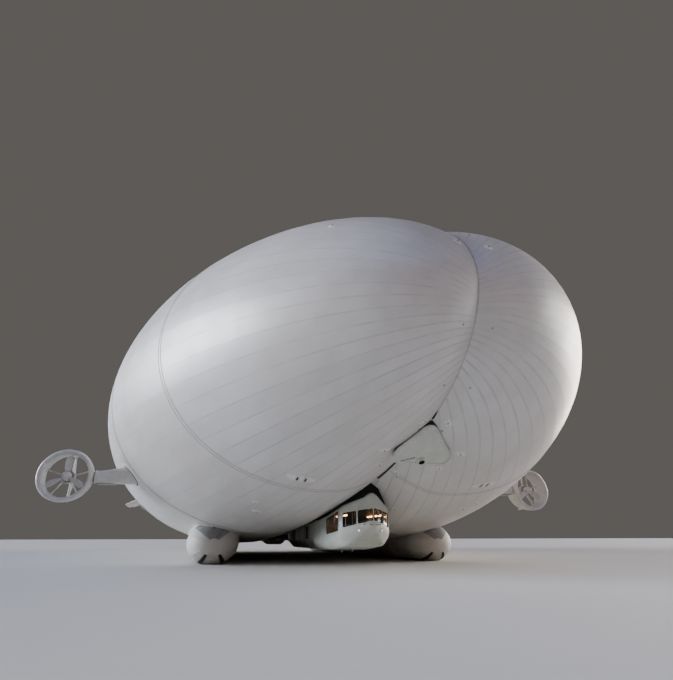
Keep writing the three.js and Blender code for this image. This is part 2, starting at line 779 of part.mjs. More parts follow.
// A fin's span runs from its lobe's axis outwards; its flap swings about the line behind the fin.
function addFin(fin, sideName, side) {
  const tip = vector(side * fin.tip[0], 0, fin.tip[1]);
  const axis = vector(side * FIN.axisX, 0, FIN.axisZ);
  const out = tip.clone().sub(axis);
  const reach = out.length();
  out.normalize();
  const normal = vector(-out.z * side, 0, out.x * side);
  const at = (part, y, offset) => {
    const span = mix([fin.start, reach], part);
    return axis.clone().addScaledVector(out, span).addScaledVector(normal, offset).setY(y);
  };
  const thickAt = (part) => mix([FIN.rootThick, FIN.tipThick], part);
  const noseRadius = (part) => thickAt(part) * FIN.noseShare;
  const pivotY = (part) => mix(fin.hinge, part) + RUN_GAP + noseRadius(part);

  const fixedRing = (part) => {
    const lead = mix(fin.lead, part);
    const hinge = mix(fin.hinge, part);
    const edge = (face) =>
      FIN_SECTION.map(({ along, half }) => at(part, mix([lead, hinge], along), face * half * thickAt(part)));
    return [at(part, lead, 0), ...edge(1), ...edge(-1).reverse()];
  };
  const flapRing = (part) => {
    const nose = FLAP_NOSE_TURNS.map((degrees) => {
      const angle = THREE.MathUtils.degToRad(degrees);
      return at(part, pivotY(part) + noseRadius(part) * Math.cos(angle), noseRadius(part) * Math.sin(angle));
    });
    const trail = mix(fin.trail, part);
    return [...nose, at(part, trail, -FIN.trailHalf), at(part, trail, FIN.trailHalf)];
  };
  // Inboard of the flap the fixed fin runs on to the trailing edge as a heel.
  const heelRing = (part) => {
    const half = FIN_SECTION.at(-1).half * thickAt(part);
    const hinge = mix(fin.hinge, part);
    const trail = mix(fin.trail, part);
    return [
      at(part, hinge - FIN.heelOverlap, half),
      at(part, hinge, half),
      at(part, trail, FIN.trailHalf),
      at(part, trail, -FIN.trailHalf),
      at(part, hinge, -half),
      at(part, hinge - FIN.heelOverlap, -half),
    ];
  };
  const heelEnd = FIN.flapFrom - FIN.heelGap / (reach - fin.start);
  const heel = loft([heelRing(FIN.rootPart), heelRing(heelEnd)]);
  let fixed = loft([fixedRing(FIN.rootPart), fixedRing(1)]).add(heel).subtract(hullClear);
  let flap = loft([flapRing(FIN.flapFrom), flapRing(FIN.flapTo)]);

  const low = at(FIN.flapFrom, pivotY(FIN.flapFrom), 0);
  const high = at(FIN.flapTo, pivotY(FIN.flapTo), 0);
  const line = high.clone().sub(low).normalize();
  const back = normal.clone().cross(line).normalize();
  if (back.y < 0) back.negate();
  const frame = new THREE.Matrix4().makeBasis(line, back, line.clone().cross(back));
  for (const place of HINGE_LUG.places) {
    const centre = low.clone().lerp(high, place);
    const radius = noseRadius(mix([FIN.flapFrom, FIN.flapTo], place));
    const stand = frame.clone().setPosition(centre);
    const block = (width, from, to, height) => {
      const geometry = new THREE.BoxGeometry(width, to - from, height);
      return solid(geometry.translate(0, (from + to) / 2, 0).applyMatrix4(stand));
    };
    const bar = (half, size) => {
      const reachTo = (end) => centre.clone().addScaledVector(line, end * half);
      return rod(reachTo(-1), reachTo(1), size, HINGE_LUG.sides);
    };
    const notch = block(HINGE_LUG.notch, -radius - HINGE_LUG.notchDepth, HINGE_LUG.eye + RUN_GAP, 2);
    const arm = block(HINGE_LUG.width, -radius - RUN_GAP - HINGE_LUG.overlap, 0, HINGE_LUG.arm);
    const eye = bar(HINGE_LUG.width / 2, HINGE_LUG.eye);
    flap = flap.subtract(notch).add(bar(HINGE_LUG.notch, HINGE_LUG.pin));
    fixed = fixed.add(arm.add(eye).subtract(bar(HINGE_LUG.notch, HINGE_LUG.pin + PIN_GAP)));
  }
  addPiece(`${fin.name}_${sideName}_fin`, fixed, materials.fin);
  addPiece(`${fin.name}_${sideName}_fin_flap`, flap, materials.fin);
}

addHull();
addMooring();
addGondola();
addFlightDeck();
addCabinFittings();
addSkids();
addPropulsion();
addPylons();
addSternCones();
for (const fin of FINS) {
  for (const [sideName, side] of SIDES) addFin(fin, sideName, side);
}

// Metres of the full-size ship become millimetres of the scale model.
ship.scale.setScalar(1000 * MODEL_SCALE);

const airship = new THREE.Group();
airship.add(ship);

export default airship;
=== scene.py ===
# Hybrid airship as a 1:10 scale model: its fine surfaces and finishes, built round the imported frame.
# Shapes are laid out in metres of the full-size ship, with the nose along -Y and port along +X, and
# scaled to the model once, in piece().
import math

import bmesh
import bpy
import numpy as np
from mathutils import Matrix, Vector
from mathutils.bvhtree import BVHTree


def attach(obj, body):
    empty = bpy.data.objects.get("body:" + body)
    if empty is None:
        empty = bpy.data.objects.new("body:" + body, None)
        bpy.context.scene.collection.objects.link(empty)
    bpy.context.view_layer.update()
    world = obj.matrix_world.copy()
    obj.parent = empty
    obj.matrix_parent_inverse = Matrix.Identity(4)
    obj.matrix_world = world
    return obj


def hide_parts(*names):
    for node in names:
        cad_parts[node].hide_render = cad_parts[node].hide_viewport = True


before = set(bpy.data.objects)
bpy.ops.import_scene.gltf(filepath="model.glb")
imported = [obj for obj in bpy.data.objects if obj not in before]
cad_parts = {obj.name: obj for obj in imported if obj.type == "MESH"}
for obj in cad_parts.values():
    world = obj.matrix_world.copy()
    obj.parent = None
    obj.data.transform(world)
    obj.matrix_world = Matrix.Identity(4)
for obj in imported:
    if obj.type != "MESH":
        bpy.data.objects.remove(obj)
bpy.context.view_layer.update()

SHIP = 0.1  # metres of the model for each metre of the ship
MM = 0.001
SIDES = (("starboard", -1), ("port", 1))
DRAWS = np.random.default_rng(10)
WELD_MODEL, WELD_SHIP = 1e-6, 1e-5  # points nearer than this are one, in metres of the model and of the ship
SHARP = 32  # degrees between faces, above which an edge is shaded sharp
SUNK = 0.02  # how deep the edge of a thing laid on the hull is let into the skin

# The hull's lobes, as the frame has them.
NOSE_Y, WIDEST_Y, TAIL_Y = -46.0, -10.03, 42.1
LOBE_HALF_WIDTH, LOBE_HALF_HEIGHT = 13.133, 10.973
LOBE_PINCH = 0.399
LOBE_TILT = math.radians(-3.694)
AXIS_X, AXIS_Z = 5.61, 12.302
NOSE_X, NOSE_Z = 1.56, 11.626
NOSE_RISE, NOSE_FULLNESS = 1.989, 2.121
TAIL_FULLNESS, TAIL_LIFT = 0.62, 2.0

# Each lobe's fabric gores run between two points: one under the other lobe's nose, and the lobe's own tail.
GORES = 84
GORE_ROWS = 140
GORE_FROM, GORE_TO = np.array([-2.4, -45.7, 10.4]), np.array([AXIS_X, TAIL_Y, AXIS_Z + TAIL_LIFT])
GORE_MIDDLE = (GORE_FROM + GORE_TO) / 2
GORE_AXIS = (GORE_TO - GORE_FROM) / np.linalg.norm(GORE_TO - GORE_FROM)
GORE_SIDE = np.cross(GORE_AXIS, (0, 0, 1)) / np.linalg.norm(np.cross(GORE_AXIS, (0, 0, 1)))
GORE_UP = np.cross(GORE_SIDE, GORE_AXIS)
GORE_REACH, GORE_SPREAD = 44.0, 12.0  # half the lobe's length, and about its radius
GORE_CROWN = 0.0015  # how far a gore bulges, as a share of its width
TAPE_WIDTH, TAPE_LIFT = 0.07, 0.005


def linear(code):
    """An sRGB hex colour as linear RGBA."""
    parts = [int(code[i : i + 2], 16) / 255 for i in (1, 3, 5)]
    return [c / 12.92 if c <= 0.04045 else ((c + 0.055) / 1.055) ** 2.4 for c in parts] + [1.0]


def add(tree, kind, inputs=None, **settings):
    """Adds a shader node; settings are its own properties, and a socket among its inputs is linked."""
    made = tree.nodes.new("ShaderNode" + kind)
    for key, value in settings.items():
        setattr(made, key, value)
    for key, value in (inputs or {}).items():
        if isinstance(value, bpy.types.NodeSocket):
            tree.links.new(value, made.inputs[key])
        else:
            made.inputs[key].default_value = value
    return made


def start_finish(name, **shader):
    """A new material with its Principled shader's constants set, and its mesh coordinates in metres."""
    made = bpy.data.materials.new(name)
    made.use_nodes = True
    tree = made.node_tree
    principled = tree.nodes["Principled BSDF"]
    for key, value in shader.items():
        principled.inputs[key.replace("_", " ")].default_value = value
    place = add(tree, "TexCoord").outputs["Object"]
    return made, tree, principled, place


def blended(tree, share, first, second, **settings):
    """Two colours mixed by a share of the second."""
    return add(tree, "Mix", {0: share, 6: first, 7: second}, data_type="RGBA", **settings).outputs[2]


def multiplied(tree, first, second):
    """One colour darkened by another."""
    return blended(tree, 1.0, first, second, blend_type="MULTIPLY")


def noise(tree, place, size_mm, detail, **inputs):
    """Noise in patches of the given size."""
    sockets = {"Vector": place, "Scale": 1 / (size_mm * MM), "Detail": detail, **inputs}
    return add(tree, "TexNoise", sockets).outputs["Fac"]


def mottled(tree, place, colours, size_mm, detail=4.0, stretch=(1, 1, 1)):
    """A colour that drifts between two hex colours in patches of the given size."""
    at = add(tree, "Mapping", {"Vector": place, "Scale": stretch}).outputs["Vector"]
    spread = add(tree, "MapRange", {0: noise(tree, at, size_mm, detail), 1: 0.35, 2: 0.65})
    return blended(tree, spread.outputs[0], linear(colours[0]), linear(colours[1]))


def roughened(tree, place, principled, size_mm, low, high):
    """Roughness that drifts between two values, as handling and cleaning leave it."""
    spread = add(tree, "MapRange", {0: noise(tree, place, size_mm, 3.0), 1: 0.3, 2: 0.7, 3: low, 4: high})
    tree.links.new(spread.outputs[0], principled.inputs["Roughness"])


def bumped(tree, height, principled, depth_mm):
    """Relief of the given depth from a height between 0 and 1."""
    bump = add(tree, "Bump", {"Height": height, "Strength": 1.0, "Distance": depth_mm * MM})
    tree.links.new(bump.outputs[0], principled.inputs["Normal"])


def surface(
    name, colours, size_mm, detail=4.0, stretch=(1, 1, 1), rough=None, creases=None, threads=None, **shader
):
    """A material of drifting colour.

    rough is (size in mm, low, high), creases (size in mm, detail, depth in mm), threads (pitch in mm,
    direction, depth in mm).
    """
    made, tree, principled, place = start_finish(name, **shader)
    tree.links.new(mottled(tree, place, colours, size_mm, detail, stretch), principled.inputs["Base Color"])
    if rough:
        roughened(tree, place, principled, *rough)
    if creases:
        bumped(tree, noise(tree, place, *creases[:2]), principled, creases[2])
    if threads:
        pitch_mm, direction, depth_mm = threads
        scale = 1 / (pitch_mm * MM) / math.tau
        wave = add(tree, "TexWave", {"Vector": place, "Scale": scale}, bands_direction=direction)
        bumped(tree, wave.outputs["Fac"], principled, depth_mm)
    return made


def laminated_hull_fabric():
    """Laminated film over woven cloth: satin, silvery off-white, each gore a shade apart."""
    made, tree, principled, place = start_finish(
        "laminated_hull_fabric", Metallic=0.12, IOR=1.46, Coat_Weight=0.12, Coat_Roughness=0.32
    )
    tone = add(tree, "Attribute", attribute_name="gore_tone").outputs["Fac"]
    shade = blended(tree, tone, linear("#DCDBD8"), linear("#E2E0DC"))
    streaks = mottled(tree, place, ("#F7F6F4", "#FFFFFF"), 90, 5.0, (1, 0.12, 1))
    clouds = mottled(tree, place, ("#F3F0EC", "#FFFFFF"), 900, 3.0)
    aged = multiplied(tree, multiplied(tree, shade, streaks), clouds)
    tree.links.new(aged, principled.inputs["Base Color"])
    roughened(tree, place, principled, 260, 0.36, 0.48)
    bumped(tree, noise(tree, place, 70, 6.0, Roughness=0.55), principled, 0.5)
    return made


def painted_composite(name, light, dark, low=0.28, high=0.4):
    """Filled and sprayed composite: an even semi-gloss with a faint orange peel and handling marks."""
    made, tree, principled, place = start_finish(name, IOR=1.5, Coat_Weight=0.25, Coat_Roughness=0.2)
    base = mottled(tree, place, (dark, light), 160, 4.0)
    dust = mottled(tree, place, ("#F7F5F1", "#FFFFFF"), 40, 6.0)
    tree.links.new(multiplied(tree, base, dust), principled.inputs["Base Color"])
    roughened(tree, place, principled, 45, low, high)
    bumped(tree, noise(tree, place, 2.5, 2.0), principled, 0.04)
    return made


def coated_skid_fabric():
    """Rubber-coated skid cloth: duller and greyer than the hull, with painted shade that darkens it towards
    the ground along a ragged edge.
    """
    made, tree, principled, place = start_finish("coated_skid_fabric", IOR=1.5, Sheen_Weight=0.08)
    base = mottled(tree, place, ("#B9B7B1", "#CFCDC7"), 220, 5.0)
    height = add(tree, "SeparateXYZ", {0: place}).outputs["Z"]
    edge_noise = noise(tree, place, 35, 8.0)
    ragged = add(tree, "Math", {0: edge_noise, 1: 0.10, 2: 0.0}, operation="MULTIPLY_ADD").outputs[0]
    level = add(tree, "Math", {0: height, 1: ragged}, operation="ADD").outputs[0]
    # Painted shade: the lowest part of the skid is darkened towards a grey-brown, fading out higher up.
    ground_shade = add(tree, "MapRange", {0: level, 1: 0.03, 2: 0.13, 3: 0.75, 4: 0.0}).outputs[0]
    tree.links.new(blended(tree, ground_shade, base, linear("#6E675E")), principled.inputs["Base Color"])
    roughened(tree, place, principled, 80, 0.5, 0.68)
    bumped(tree, noise(tree, place, 45, 6.0), principled, 0.7)
    return made


def lamp(name, code, strength):
    """A lit lamp lens."""
    light = {"Emission_Strength": strength, "Emission_Color": linear(code)}
    return surface(name, (code, code), 10, 2.0, Roughness=0.2, **light)


HULL_FABRIC = laminated_hull_fabric()
# Welded tape over a seam: the hull's film again, a shade darker and glossier where it was rolled on.
TAPE = surface(
    "seam_tape", ("#C6C4C0", "#D2CFCB"), 60, 5.0, (1, 0.2, 1), rough=(40, 0.34, 0.46), Metallic=0.1, IOR=1.46
)
# A sewn and taped ring seam: darker than the film round it, with dust held along its stitches.
SEAM = surface("stitched_seam", ("#B4B0AB", "#C6C2BD"), 25, 6.0, rough=(20, 0.45, 0.6), IOR=1.46)
# Woven polyester webbing and lacing cord, grey-brown with use.
WEBBING = surface(
    "woven_webbing", ("#4A4640", "#6D675E"), 8, 5.0, rough=(6, 0.7, 0.85), threads=(1.6, "DIAGONAL", 0.15),
    IOR=1.46, Sheen_Weight=0.2,
)
# Bright white reinforcing fabric, bonded in fingers that spread a load into the hull.
PATCH = surface(
    "patch_fabric", ("#E2E1DC", "#F4F3EF"), 12, rough=(9, 0.45, 0.6), threads=(2.2, "Z", 0.12),
    IOR=1.46, Sheen_Weight=0.1,
)
PALE_PAINT = painted_composite("painted_composite_pale", "#D8D8D2", "#D0D0CA")
DUCT_PAINT = painted_composite("painted_composite_duct", "#D1D0CC", "#C8C7C3", 0.3, 0.44)
BLADE_PAINT = painted_composite("painted_composite_blade", "#D4D3CF", "#C9C8C4", 0.25, 0.4)
COWL_PAINT = painted_composite("painted_cowl", "#A9A8A3", "#8F8E8A", 0.32, 0.48)
SKID_FABRIC = coated_skid_fabric()
# Doped fabric over ribs: the hull's off-white, tighter and a little flatter.
FIN_FABRIC = surface(
    "doped_fin_fabric", ("#C4C3BF", "#D2D0CB"), 240, 5.0, (1, 0.4, 1), rough=(120, 0.38, 0.52),
    creases=(18, 5.0, 0.18), Metallic=0.06, IOR=1.47,
)
# Black moulded rubber for gaskets and skirts, also laid as black fill of painted shade in gaps, slots and the
# socket's bore: matt, with a bloom of grey on it.
RUBBER_AND_SHADE = surface(
    "moulded_rubber_and_shade_fill", ("#141414", "#2B2A28"), 18, 6.0, rough=(12, 0.6, 0.85),
    IOR=1.52, Specular_IOR_Level=0.35,
)
# Dark grey paint on aluminium frames, rubbed paler in places.
FRAME_METAL = surface(
    "painted_frame_metal", ("#2A2D30", "#43474A"), 30, 6.0, rough=(20, 0.4, 0.6), Metallic=0.3
)
# Plated steel rings, pins and hinges: bright, with stained hollows.
FITTINGS = surface("cast_fittings", ("#6B6762", "#B3B1AD"), 6, 6.0, rough=(5, 0.25, 0.5), Metallic=1.0)
# Lightly tinted glazing, polished, seen through into the cabin.
GLASS = surface(
    "cabin_glass", ("#A9B6B8", "#C3CDCD"), 300, 2.0, IOR=1.5, Transmission_Weight=1.0, Roughness=0.03
)
# Dark blue-grey woven seat cloth, its threads drawn twice as coarse as real so that they show.
SEAT_CLOTH = surface(
    "woven_seat_cloth", ("#20252C", "#363D46"), 7, 5.0, rough=(6, 0.75, 0.92),
    threads=(1.2, "DIAGONAL", 0.15),
    IOR=1.45, Sheen_Weight=0.3,
)
PANEL_PAINT = painted_composite("painted_composite_panel", "#D0D5CB", "#C9CFC5", 0.34, 0.46)
LINING = painted_composite("cabin_lining_paint", "#DCC9AC", "#C9B391", 0.5, 0.6)
# Black cloth laid in the gaps between the gondola and the hull, painted shade that stands for the dark gaps:
# matt, softly creased.
GAP_SHADE_CLOTH = surface(
    "gap_shade_cloth", ("#0E0F10", "#1D1E1F"), 60, 5.0, rough=(30, 0.75, 0.92), creases=(30, 4.0, 0.8),
    IOR=1.5, Specular_IOR_Level=0.25,
)
# Grey rubber sheet bonded over a skid's nose against chafing: duller and darker than its cloth.
NOSE_BAND = surface(
    "nose_band_rubber", ("#7E7F80", "#979796"), 30, 6.0, rough=(20, 0.55, 0.75),
    IOR=1.5, Specular_IOR_Level=0.35,
)
LENS = lamp("landing_lamp_lens", "#F2F4F0", 0.6)
SCREEN = lamp("instrument_screen", "#12242A", 1.2)
WARM_LAMP = lamp("warm_cabin_lamp", "#FFA75E", 45.0)


# A shape is a pair: points in metres of the ship, and faces as tuples of point numbers.
def together(shapes):
    """Several shapes as one."""
    points, faces, start = [], [], 0
    for part_points, part_faces in shapes:
        points.append(np.asarray(part_points, float))
        faces += [tuple(int(i) + start for i in face) for face in part_faces]
        start += len(part_points)
    return np.concatenate(points), faces


def moved(shape, offset=(0, 0, 0), side=1, turn=None):
    """A shape turned by a matrix, mirrored to a side, then shifted."""
    points = np.array(shape[0], float)
    if turn is not None:
        points = points @ np.array(turn.to_3x3()).T
    points = points * (side, 1, 1) + np.asarray(offset, float)
    faces = shape[1] if side > 0 else [tuple(reversed(face)) for face in shape[1]]
    return points, faces


def on_both_sides(shape):
    """A port-side shape with its mirror image."""
    return together([shape, moved(shape, side=-1)])


def around(count):
    """Angles spaced evenly round a circle."""
    return np.linspace(0, math.tau, count, endpoint=False)


def circle(radius, steps=24):
    """A circle's outline."""
    return [(radius * math.cos(a), radius * math.sin(a)) for a in around(steps)]


def lofted(rings, closed=True):
    """A skin through rings of points, a fan over each end ring; closed=False joins last ring to first."""
    rings = np.asarray(rings, float)
    count, size = rings.shape[:2]
    faces = []
    for row in range(count - 1 if closed else count):
        after = (row + 1) % count
        for i in range(size):
            j = (i + 1) % size
            faces.append((row * size + i, row * size + j, after * size + j, after * size + i))
    points = rings.reshape(-1, 3)
    if closed:
        points = np.concatenate([points, [rings[0].mean(0), rings[-1].mean(0)]])
        last = (count - 1) * size
        for i in range(size):
            j = (i + 1) % size
            faces += [(j, i, count * size), (last + i, last + j, count * size + 1)]
    return points, faces


def turned(profile, sides=64):
    """A closed profile of (radius, y) points turned about the Y axis."""
    rings = [[(r * math.sin(a), y, r * math.cos(a)) for r, y in profile] for a in around(sides)]
    return lofted(rings, closed=False)


def spun(profile, sides=64):
    """An open profile of (radius, y) points, from tip to tail, turned about the Y axis and capped."""
    return lofted([[(r * math.sin(a), y, r * math.cos(a)) for a in around(sides)] for r, y in profile])


def basis(along):
    """Two unit vectors square to a direction."""
    along = Vector(along).normalized()
    side = along.cross(Vector((0, 0, 1)) if abs(along.z) < 0.9 else Vector((1, 0, 0))).normalized()
    return side, along.cross(side)


def rod(start, end, radius, sides=20, end_radius=None):
    """A round bar between two points."""
    u, v = basis(Vector(end) - Vector(start))
    section = np.array([np.array(u) * math.cos(a) + np.array(v) * math.sin(a) for a in around(sides)])
    far = radius if end_radius is None else end_radius
    return lofted([np.array(start) + section * radius, np.array(end) + section * far])


def tube(path, radius, sides=10, loop=False):
    """A round tube along a path, which may close on itself."""
    path = [Vector(p) for p in path]
    count = len(path)
    rings, side = [], None
    for i, point in enumerate(path):
        before = path[i - 1] if loop or i else point
        after = path[(i + 1) % count] if loop or i + 1 < count else point
        along = (after - before).normalized()
        side = basis(along)[0] if side is None else (side - along * side.dot(along)).normalized()
        other = along.cross(side)
        rings.append([point + radius * (side * math.cos(a) + other * math.sin(a)) for a in around(sides)])
    return lofted(rings, closed=not loop)


def hoop(centre, normal, radius, wire, steps=24):
    """A round ring of wire."""
    u, v = basis(normal)
    path = [Vector(centre) + radius * (u * math.cos(a) + v * math.sin(a)) for a in around(steps)]
    return tube(path, wire, 8, loop=True)


def block(low, high):
    """A box between two corners."""
    corners = [(x, y, z) for x in (low[0], high[0]) for y in (low[1], high[1]) for z in (low[2], high[2])]
    return corners, [(0, 1, 3, 2), (4, 6, 7, 5), (0, 4, 5, 1), (2, 3, 7, 6), (0, 2, 6, 4), (1, 5, 7, 3)]


def rounded(width, height, radius, steps=4):
    """A rounded rectangle's outline."""
    points = []
    for corner, (sx, sy) in enumerate(((1, 1), (-1, 1), (-1, -1), (1, -1))):
        for i in range(steps + 1):
            angle = (corner + i / steps) * math.pi / 2
            x = sx * (width / 2 - radius) + radius * math.cos(angle)
            points.append((x, sy * (height / 2 - radius) + radius * math.sin(angle)))
    return points


def plate(outline, centre, u, v, lift):
    """A flat plate with the given outline in the plane of u and v, raised along their normal."""
    u, v = np.array(u, float), np.array(v, float)
    normal = np.cross(u, v)
    flat = np.array([np.array(centre) + u * a + v * b for a, b in outline])
    middle = flat.mean(0)
    reach = np.linalg.norm(flat - middle, axis=1).max()
    shrunk = middle + (flat - middle) * (1 - lift * 0.5 / max(lift, reach))
    return lofted([flat, flat + normal * lift * 0.7, shrunk + normal * lift])


def side_plate(outline, centre, lift):
    """A plate on a port side: its outline runs along the ship, then up."""
    return plate(outline, centre, (0, 1, 0), (0, 0, 1), lift)


def welded(shape, nearness):
    """A working mesh of a shape, its double points merged and its faces turned outwards."""
    mesh = bpy.data.meshes.new("welding")
    mesh.from_pydata(np.asarray(shape[0], float).tolist(), [], shape[1])
    work = bmesh.new()
    work.from_mesh(mesh)
    bpy.data.meshes.remove(mesh)
    bmesh.ops.remove_doubles(work, verts=work.verts, dist=nearness)
    bmesh.ops.recalc_face_normals(work, faces=work.faces)
    return work


def shown(name, work, finish, body, slot, stands_for, sharp):
    """Makes a working mesh an object that rides on a body and stands for the CAD nodes it replaces."""
    mesh = bpy.data.meshes.new(name)
    work.to_mesh(mesh)
    work.free()
    mesh.shade_smooth()
    mesh.set_sharp_from_angle(angle=math.radians(sharp))
    mesh.materials.clear()
    mesh.materials.append(finish)
    made = bpy.data.objects.new(name, mesh)
    bpy.context.scene.collection.objects.link(made)
    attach(made, body)
    if stands_for:
        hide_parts(*stands_for)
    return made


def piece(name, shape, finish, body="airship", slot=None, stands_for=(), sharp=SHARP):
    """A named object made from a shape."""
    points, faces = shape
    work = welded((np.asarray(points, float) * SHIP, faces), WELD_MODEL)
    return shown(name, work, finish, body, slot, stands_for, sharp)


def on_each_side(pattern, shape, finish, body="airship", slot=None, stands_for=()):
    """A port-side shape as a piece on each side; {side} in a name stands for the side's own."""
    for side_name, side in SIDES:
        own = [text.format(side=side_name) for text in (pattern, body, *stands_for)]
        piece(own[0], moved(shape, side=side), finish, own[1], slot, own[2:])


def round_edges(work, width, segments=3):
    """Rounds the edges where faces meet at an angle."""
    edges = [e for e in work.edges if len(e.link_faces) == 2 and e.calc_face_angle(0) > math.radians(20)]
    bmesh.ops.bevel(
        work, geom=edges, offset=width, segments=segments, profile=0.5, affect="EDGES", clamp_overlap=True
    )


def softened(name, node, finish, body, slot, width):
    """A CAD node's own shape with its flat faces merged and its edges rounded."""
    work = bmesh.new()
    work.from_mesh(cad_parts[node].data)
    bmesh.ops.remove_doubles(work, verts=work.verts, dist=WELD_MODEL)
    bmesh.ops.dissolve_limit(work, angle_limit=math.radians(1), verts=work.verts, edges=work.edges)
    round_edges(work, width * SHIP)
    return shown(name, work, finish, body, slot, [node], SHARP)


# The hull
def lobe_at(y):
    """How full a lobe is at y, and where its axis runs, as in the frame."""
    y = np.asarray(y, float)
    left = np.clip((WIDEST_Y - y) / (WIDEST_Y - NOSE_Y), 0, 1)
    gone = np.clip((y - WIDEST_Y) / (TAIL_Y - WIDEST_Y), 0, 1)
    fore = y < WIDEST_Y
    fullness = np.where(fore, (1 - left**NOSE_RISE) ** (1 / NOSE_FULLNESS), (1 - gone**2) ** TAIL_FULLNESS)
    axis_x = AXIS_X + (NOSE_X - AXIS_X) * left**2
    axis_z = AXIS_Z + (NOSE_Z - AXIS_Z) * left**2 + TAIL_LIFT * gone**2
    return fullness, axis_x, axis_z


def lobe_points(angle, y):
    """Points of the port lobe's skin at an angle from outboard round over the top, and at y."""
    fullness, axis_x, axis_z = lobe_at(y)
    inwards = np.where(np.cos(angle) < 0, 1 - LOBE_PINCH * np.maximum(0, -np.sin(angle)), 1.0)
    across = fullness * LOBE_HALF_WIDTH * inwards * np.cos(angle)
    up = fullness * LOBE_HALF_HEIGHT * np.sin(angle)
    x = axis_x + across * math.cos(LOBE_TILT) - up * math.sin(LOBE_TILT)
    z = axis_z + across * math.sin(LOBE_TILT) + up * math.cos(LOBE_TILT)
    return np.stack(np.broadcast_arrays(x, y, z), axis=-1)


def inside_lobe(points):
    """Which points lie inside the port lobe."""
    fullness, axis_x, axis_z = lobe_at(points[..., 1])
    fullness = np.maximum(fullness, 1e-9)
    x, z = points[..., 0] - axis_x, points[..., 2] - axis_z
    across = x * math.cos(LOBE_TILT) + z * math.sin(LOBE_TILT)
    share = (z * math.cos(LOBE_TILT) - x * math.sin(LOBE_TILT)) / (LOBE_HALF_HEIGHT * fullness)
    inwards = np.where(across < 0, 1 - LOBE_PINCH * np.maximum(0, -share), 1.0)
    return (across / (LOBE_HALF_WIDTH * fullness * inwards)) ** 2 + share**2 < 1


def skin_distance(directions):
    """How far the port lobe's skin is from its middle in each direction."""
    near, far = np.zeros(directions.shape[:-1]), np.full(directions.shape[:-1], 70.0)
    for _ in range(26):
        half = (near + far) / 2
        inside = inside_lobe(GORE_MIDDLE + directions * half[..., None])
        near, far = np.where(inside, half, near), np.where(inside, far, half)
    return near


def gore_directions(turn, along):
    """Unit directions from the lobe's middle: turn goes round the gores' axis, along from nose to tail."""
    out = np.cos(turn)[..., None] * GORE_SIDE + np.sin(turn)[..., None] * GORE_UP
    seen = out * (np.sin(along) * GORE_SPREAD)[..., None]
    seen = seen - (np.cos(along) * GORE_REACH)[..., None] * GORE_AXIS
    return seen / np.linalg.norm(seen, axis=-1, keepdims=True)


def port_lobe():
    """The port lobe's skin up to the ship's middle plane, its gores crowned between raised seam tapes."""
    along = np.linspace(0, math.pi, GORE_ROWS + 2)[1:-1, None]
    gore = math.tau / GORES
    seams = np.arange(GORES)[None, :] * gore
    rays = gore_directions(*np.broadcast_arrays(seams, along))
    radius = np.linalg.norm(np.cross(rays, GORE_AXIS), axis=-1) * skin_distance(rays)
    tape = np.minimum(TAPE_WIDTH / 2 / radius, gore * 0.16)
    steps = [(-1, 0, 1.0), (1, 0, 1.0), (1, 1 / 3, 0.0), (1, 2 / 3, 0.0)]
    turn = np.stack([seams + sign * tape + share * (gore - 2 * tape) for sign, share, _ in steps], -1)
    lift = np.stack([
        taped * TAPE_LIFT + GORE_CROWN * gore * radius * 4 * share * (1 - share) for _, share, taped in steps
    ], -1)
    rows, columns = len(along), GORES * len(steps)
    rays = gore_directions(*np.broadcast_arrays(turn.reshape(rows, columns), along))
    grid = GORE_MIDDLE + rays * skin_distance(rays)[..., None]
    round_it = np.roll(grid, -1, 1) - np.roll(grid, 1, 1)
    normal = np.cross(np.gradient(grid, axis=0), round_it)
    normal /= np.linalg.norm(normal, axis=-1, keepdims=True)
    normal *= np.sign((normal * rays).sum(-1, keepdims=True))
    grid = grid + normal * lift.reshape(rows, columns, 1)
    poles = np.array([-GORE_AXIS, GORE_AXIS])
    points = np.concatenate([grid.reshape(-1, 3), GORE_MIDDLE + poles * skin_distance(poles)[:, None]])
    column = np.arange(columns)
    after = (column + 1) % columns
    faces = []
    for row in range(rows - 1):
        here, there = row * columns, (row + 1) * columns
        faces += np.stack([here + column, here + after, there + after, there + column], 1).tolist()
    last = (rows - 1) * columns
    faces += [(a, b, rows * columns) for a, b in zip(after.tolist(), column.tolist())]
    faces += [(last + a, last + b, rows * columns + 1) for a, b in zip(column.tolist(), after.tolist())]
    taped = np.tile((column % len(steps) == 0).astype(int), rows + 1)
    numbers = np.tile(column // len(steps), rows + 1)
    return cut_at_middle(points, faces, taped, numbers)


def cut_at_middle(points, faces, taped, numbers):
    """Cuts the port lobe at the middle plane and keeps its port part."""
    mesh = bpy.data.meshes.new("lobe")
    mesh.from_pydata(points.tolist(), [], faces)
    mesh.attributes.new("taped", "INT", "FACE").data.foreach_set("value", taped.astype(np.int32))
    mesh.attributes.new("gore", "INT", "FACE").data.foreach_set("value", numbers.astype(np.int32))
    work = bmesh.new()
    work.from_mesh(mesh)
    everything = work.verts[:] + work.edges[:] + work.faces[:]
    bmesh.ops.bisect_plane(
        work, geom=everything, dist=WELD_SHIP, plane_co=(0, 0, 0), plane_no=(1, 0, 0), clear_inner=True
    )
    work.to_mesh(mesh)
    work.free()
    kept = np.zeros(len(mesh.vertices) * 3)
    mesh.vertices.foreach_get("co", kept)
    kept = kept.reshape(-1, 3)
    kept[np.abs(kept[:, 0]) < 1e-4, 0] = 0.0
    values = {}
    for name in ("taped", "gore"):
        values[name] = np.zeros(len(mesh.polygons), np.int32)
        mesh.attributes[name].data.foreach_get("value", values[name])
    polygons = [tuple(p.vertices) for p in mesh.polygons]
    bpy.data.meshes.remove(mesh)
    return kept, polygons, values


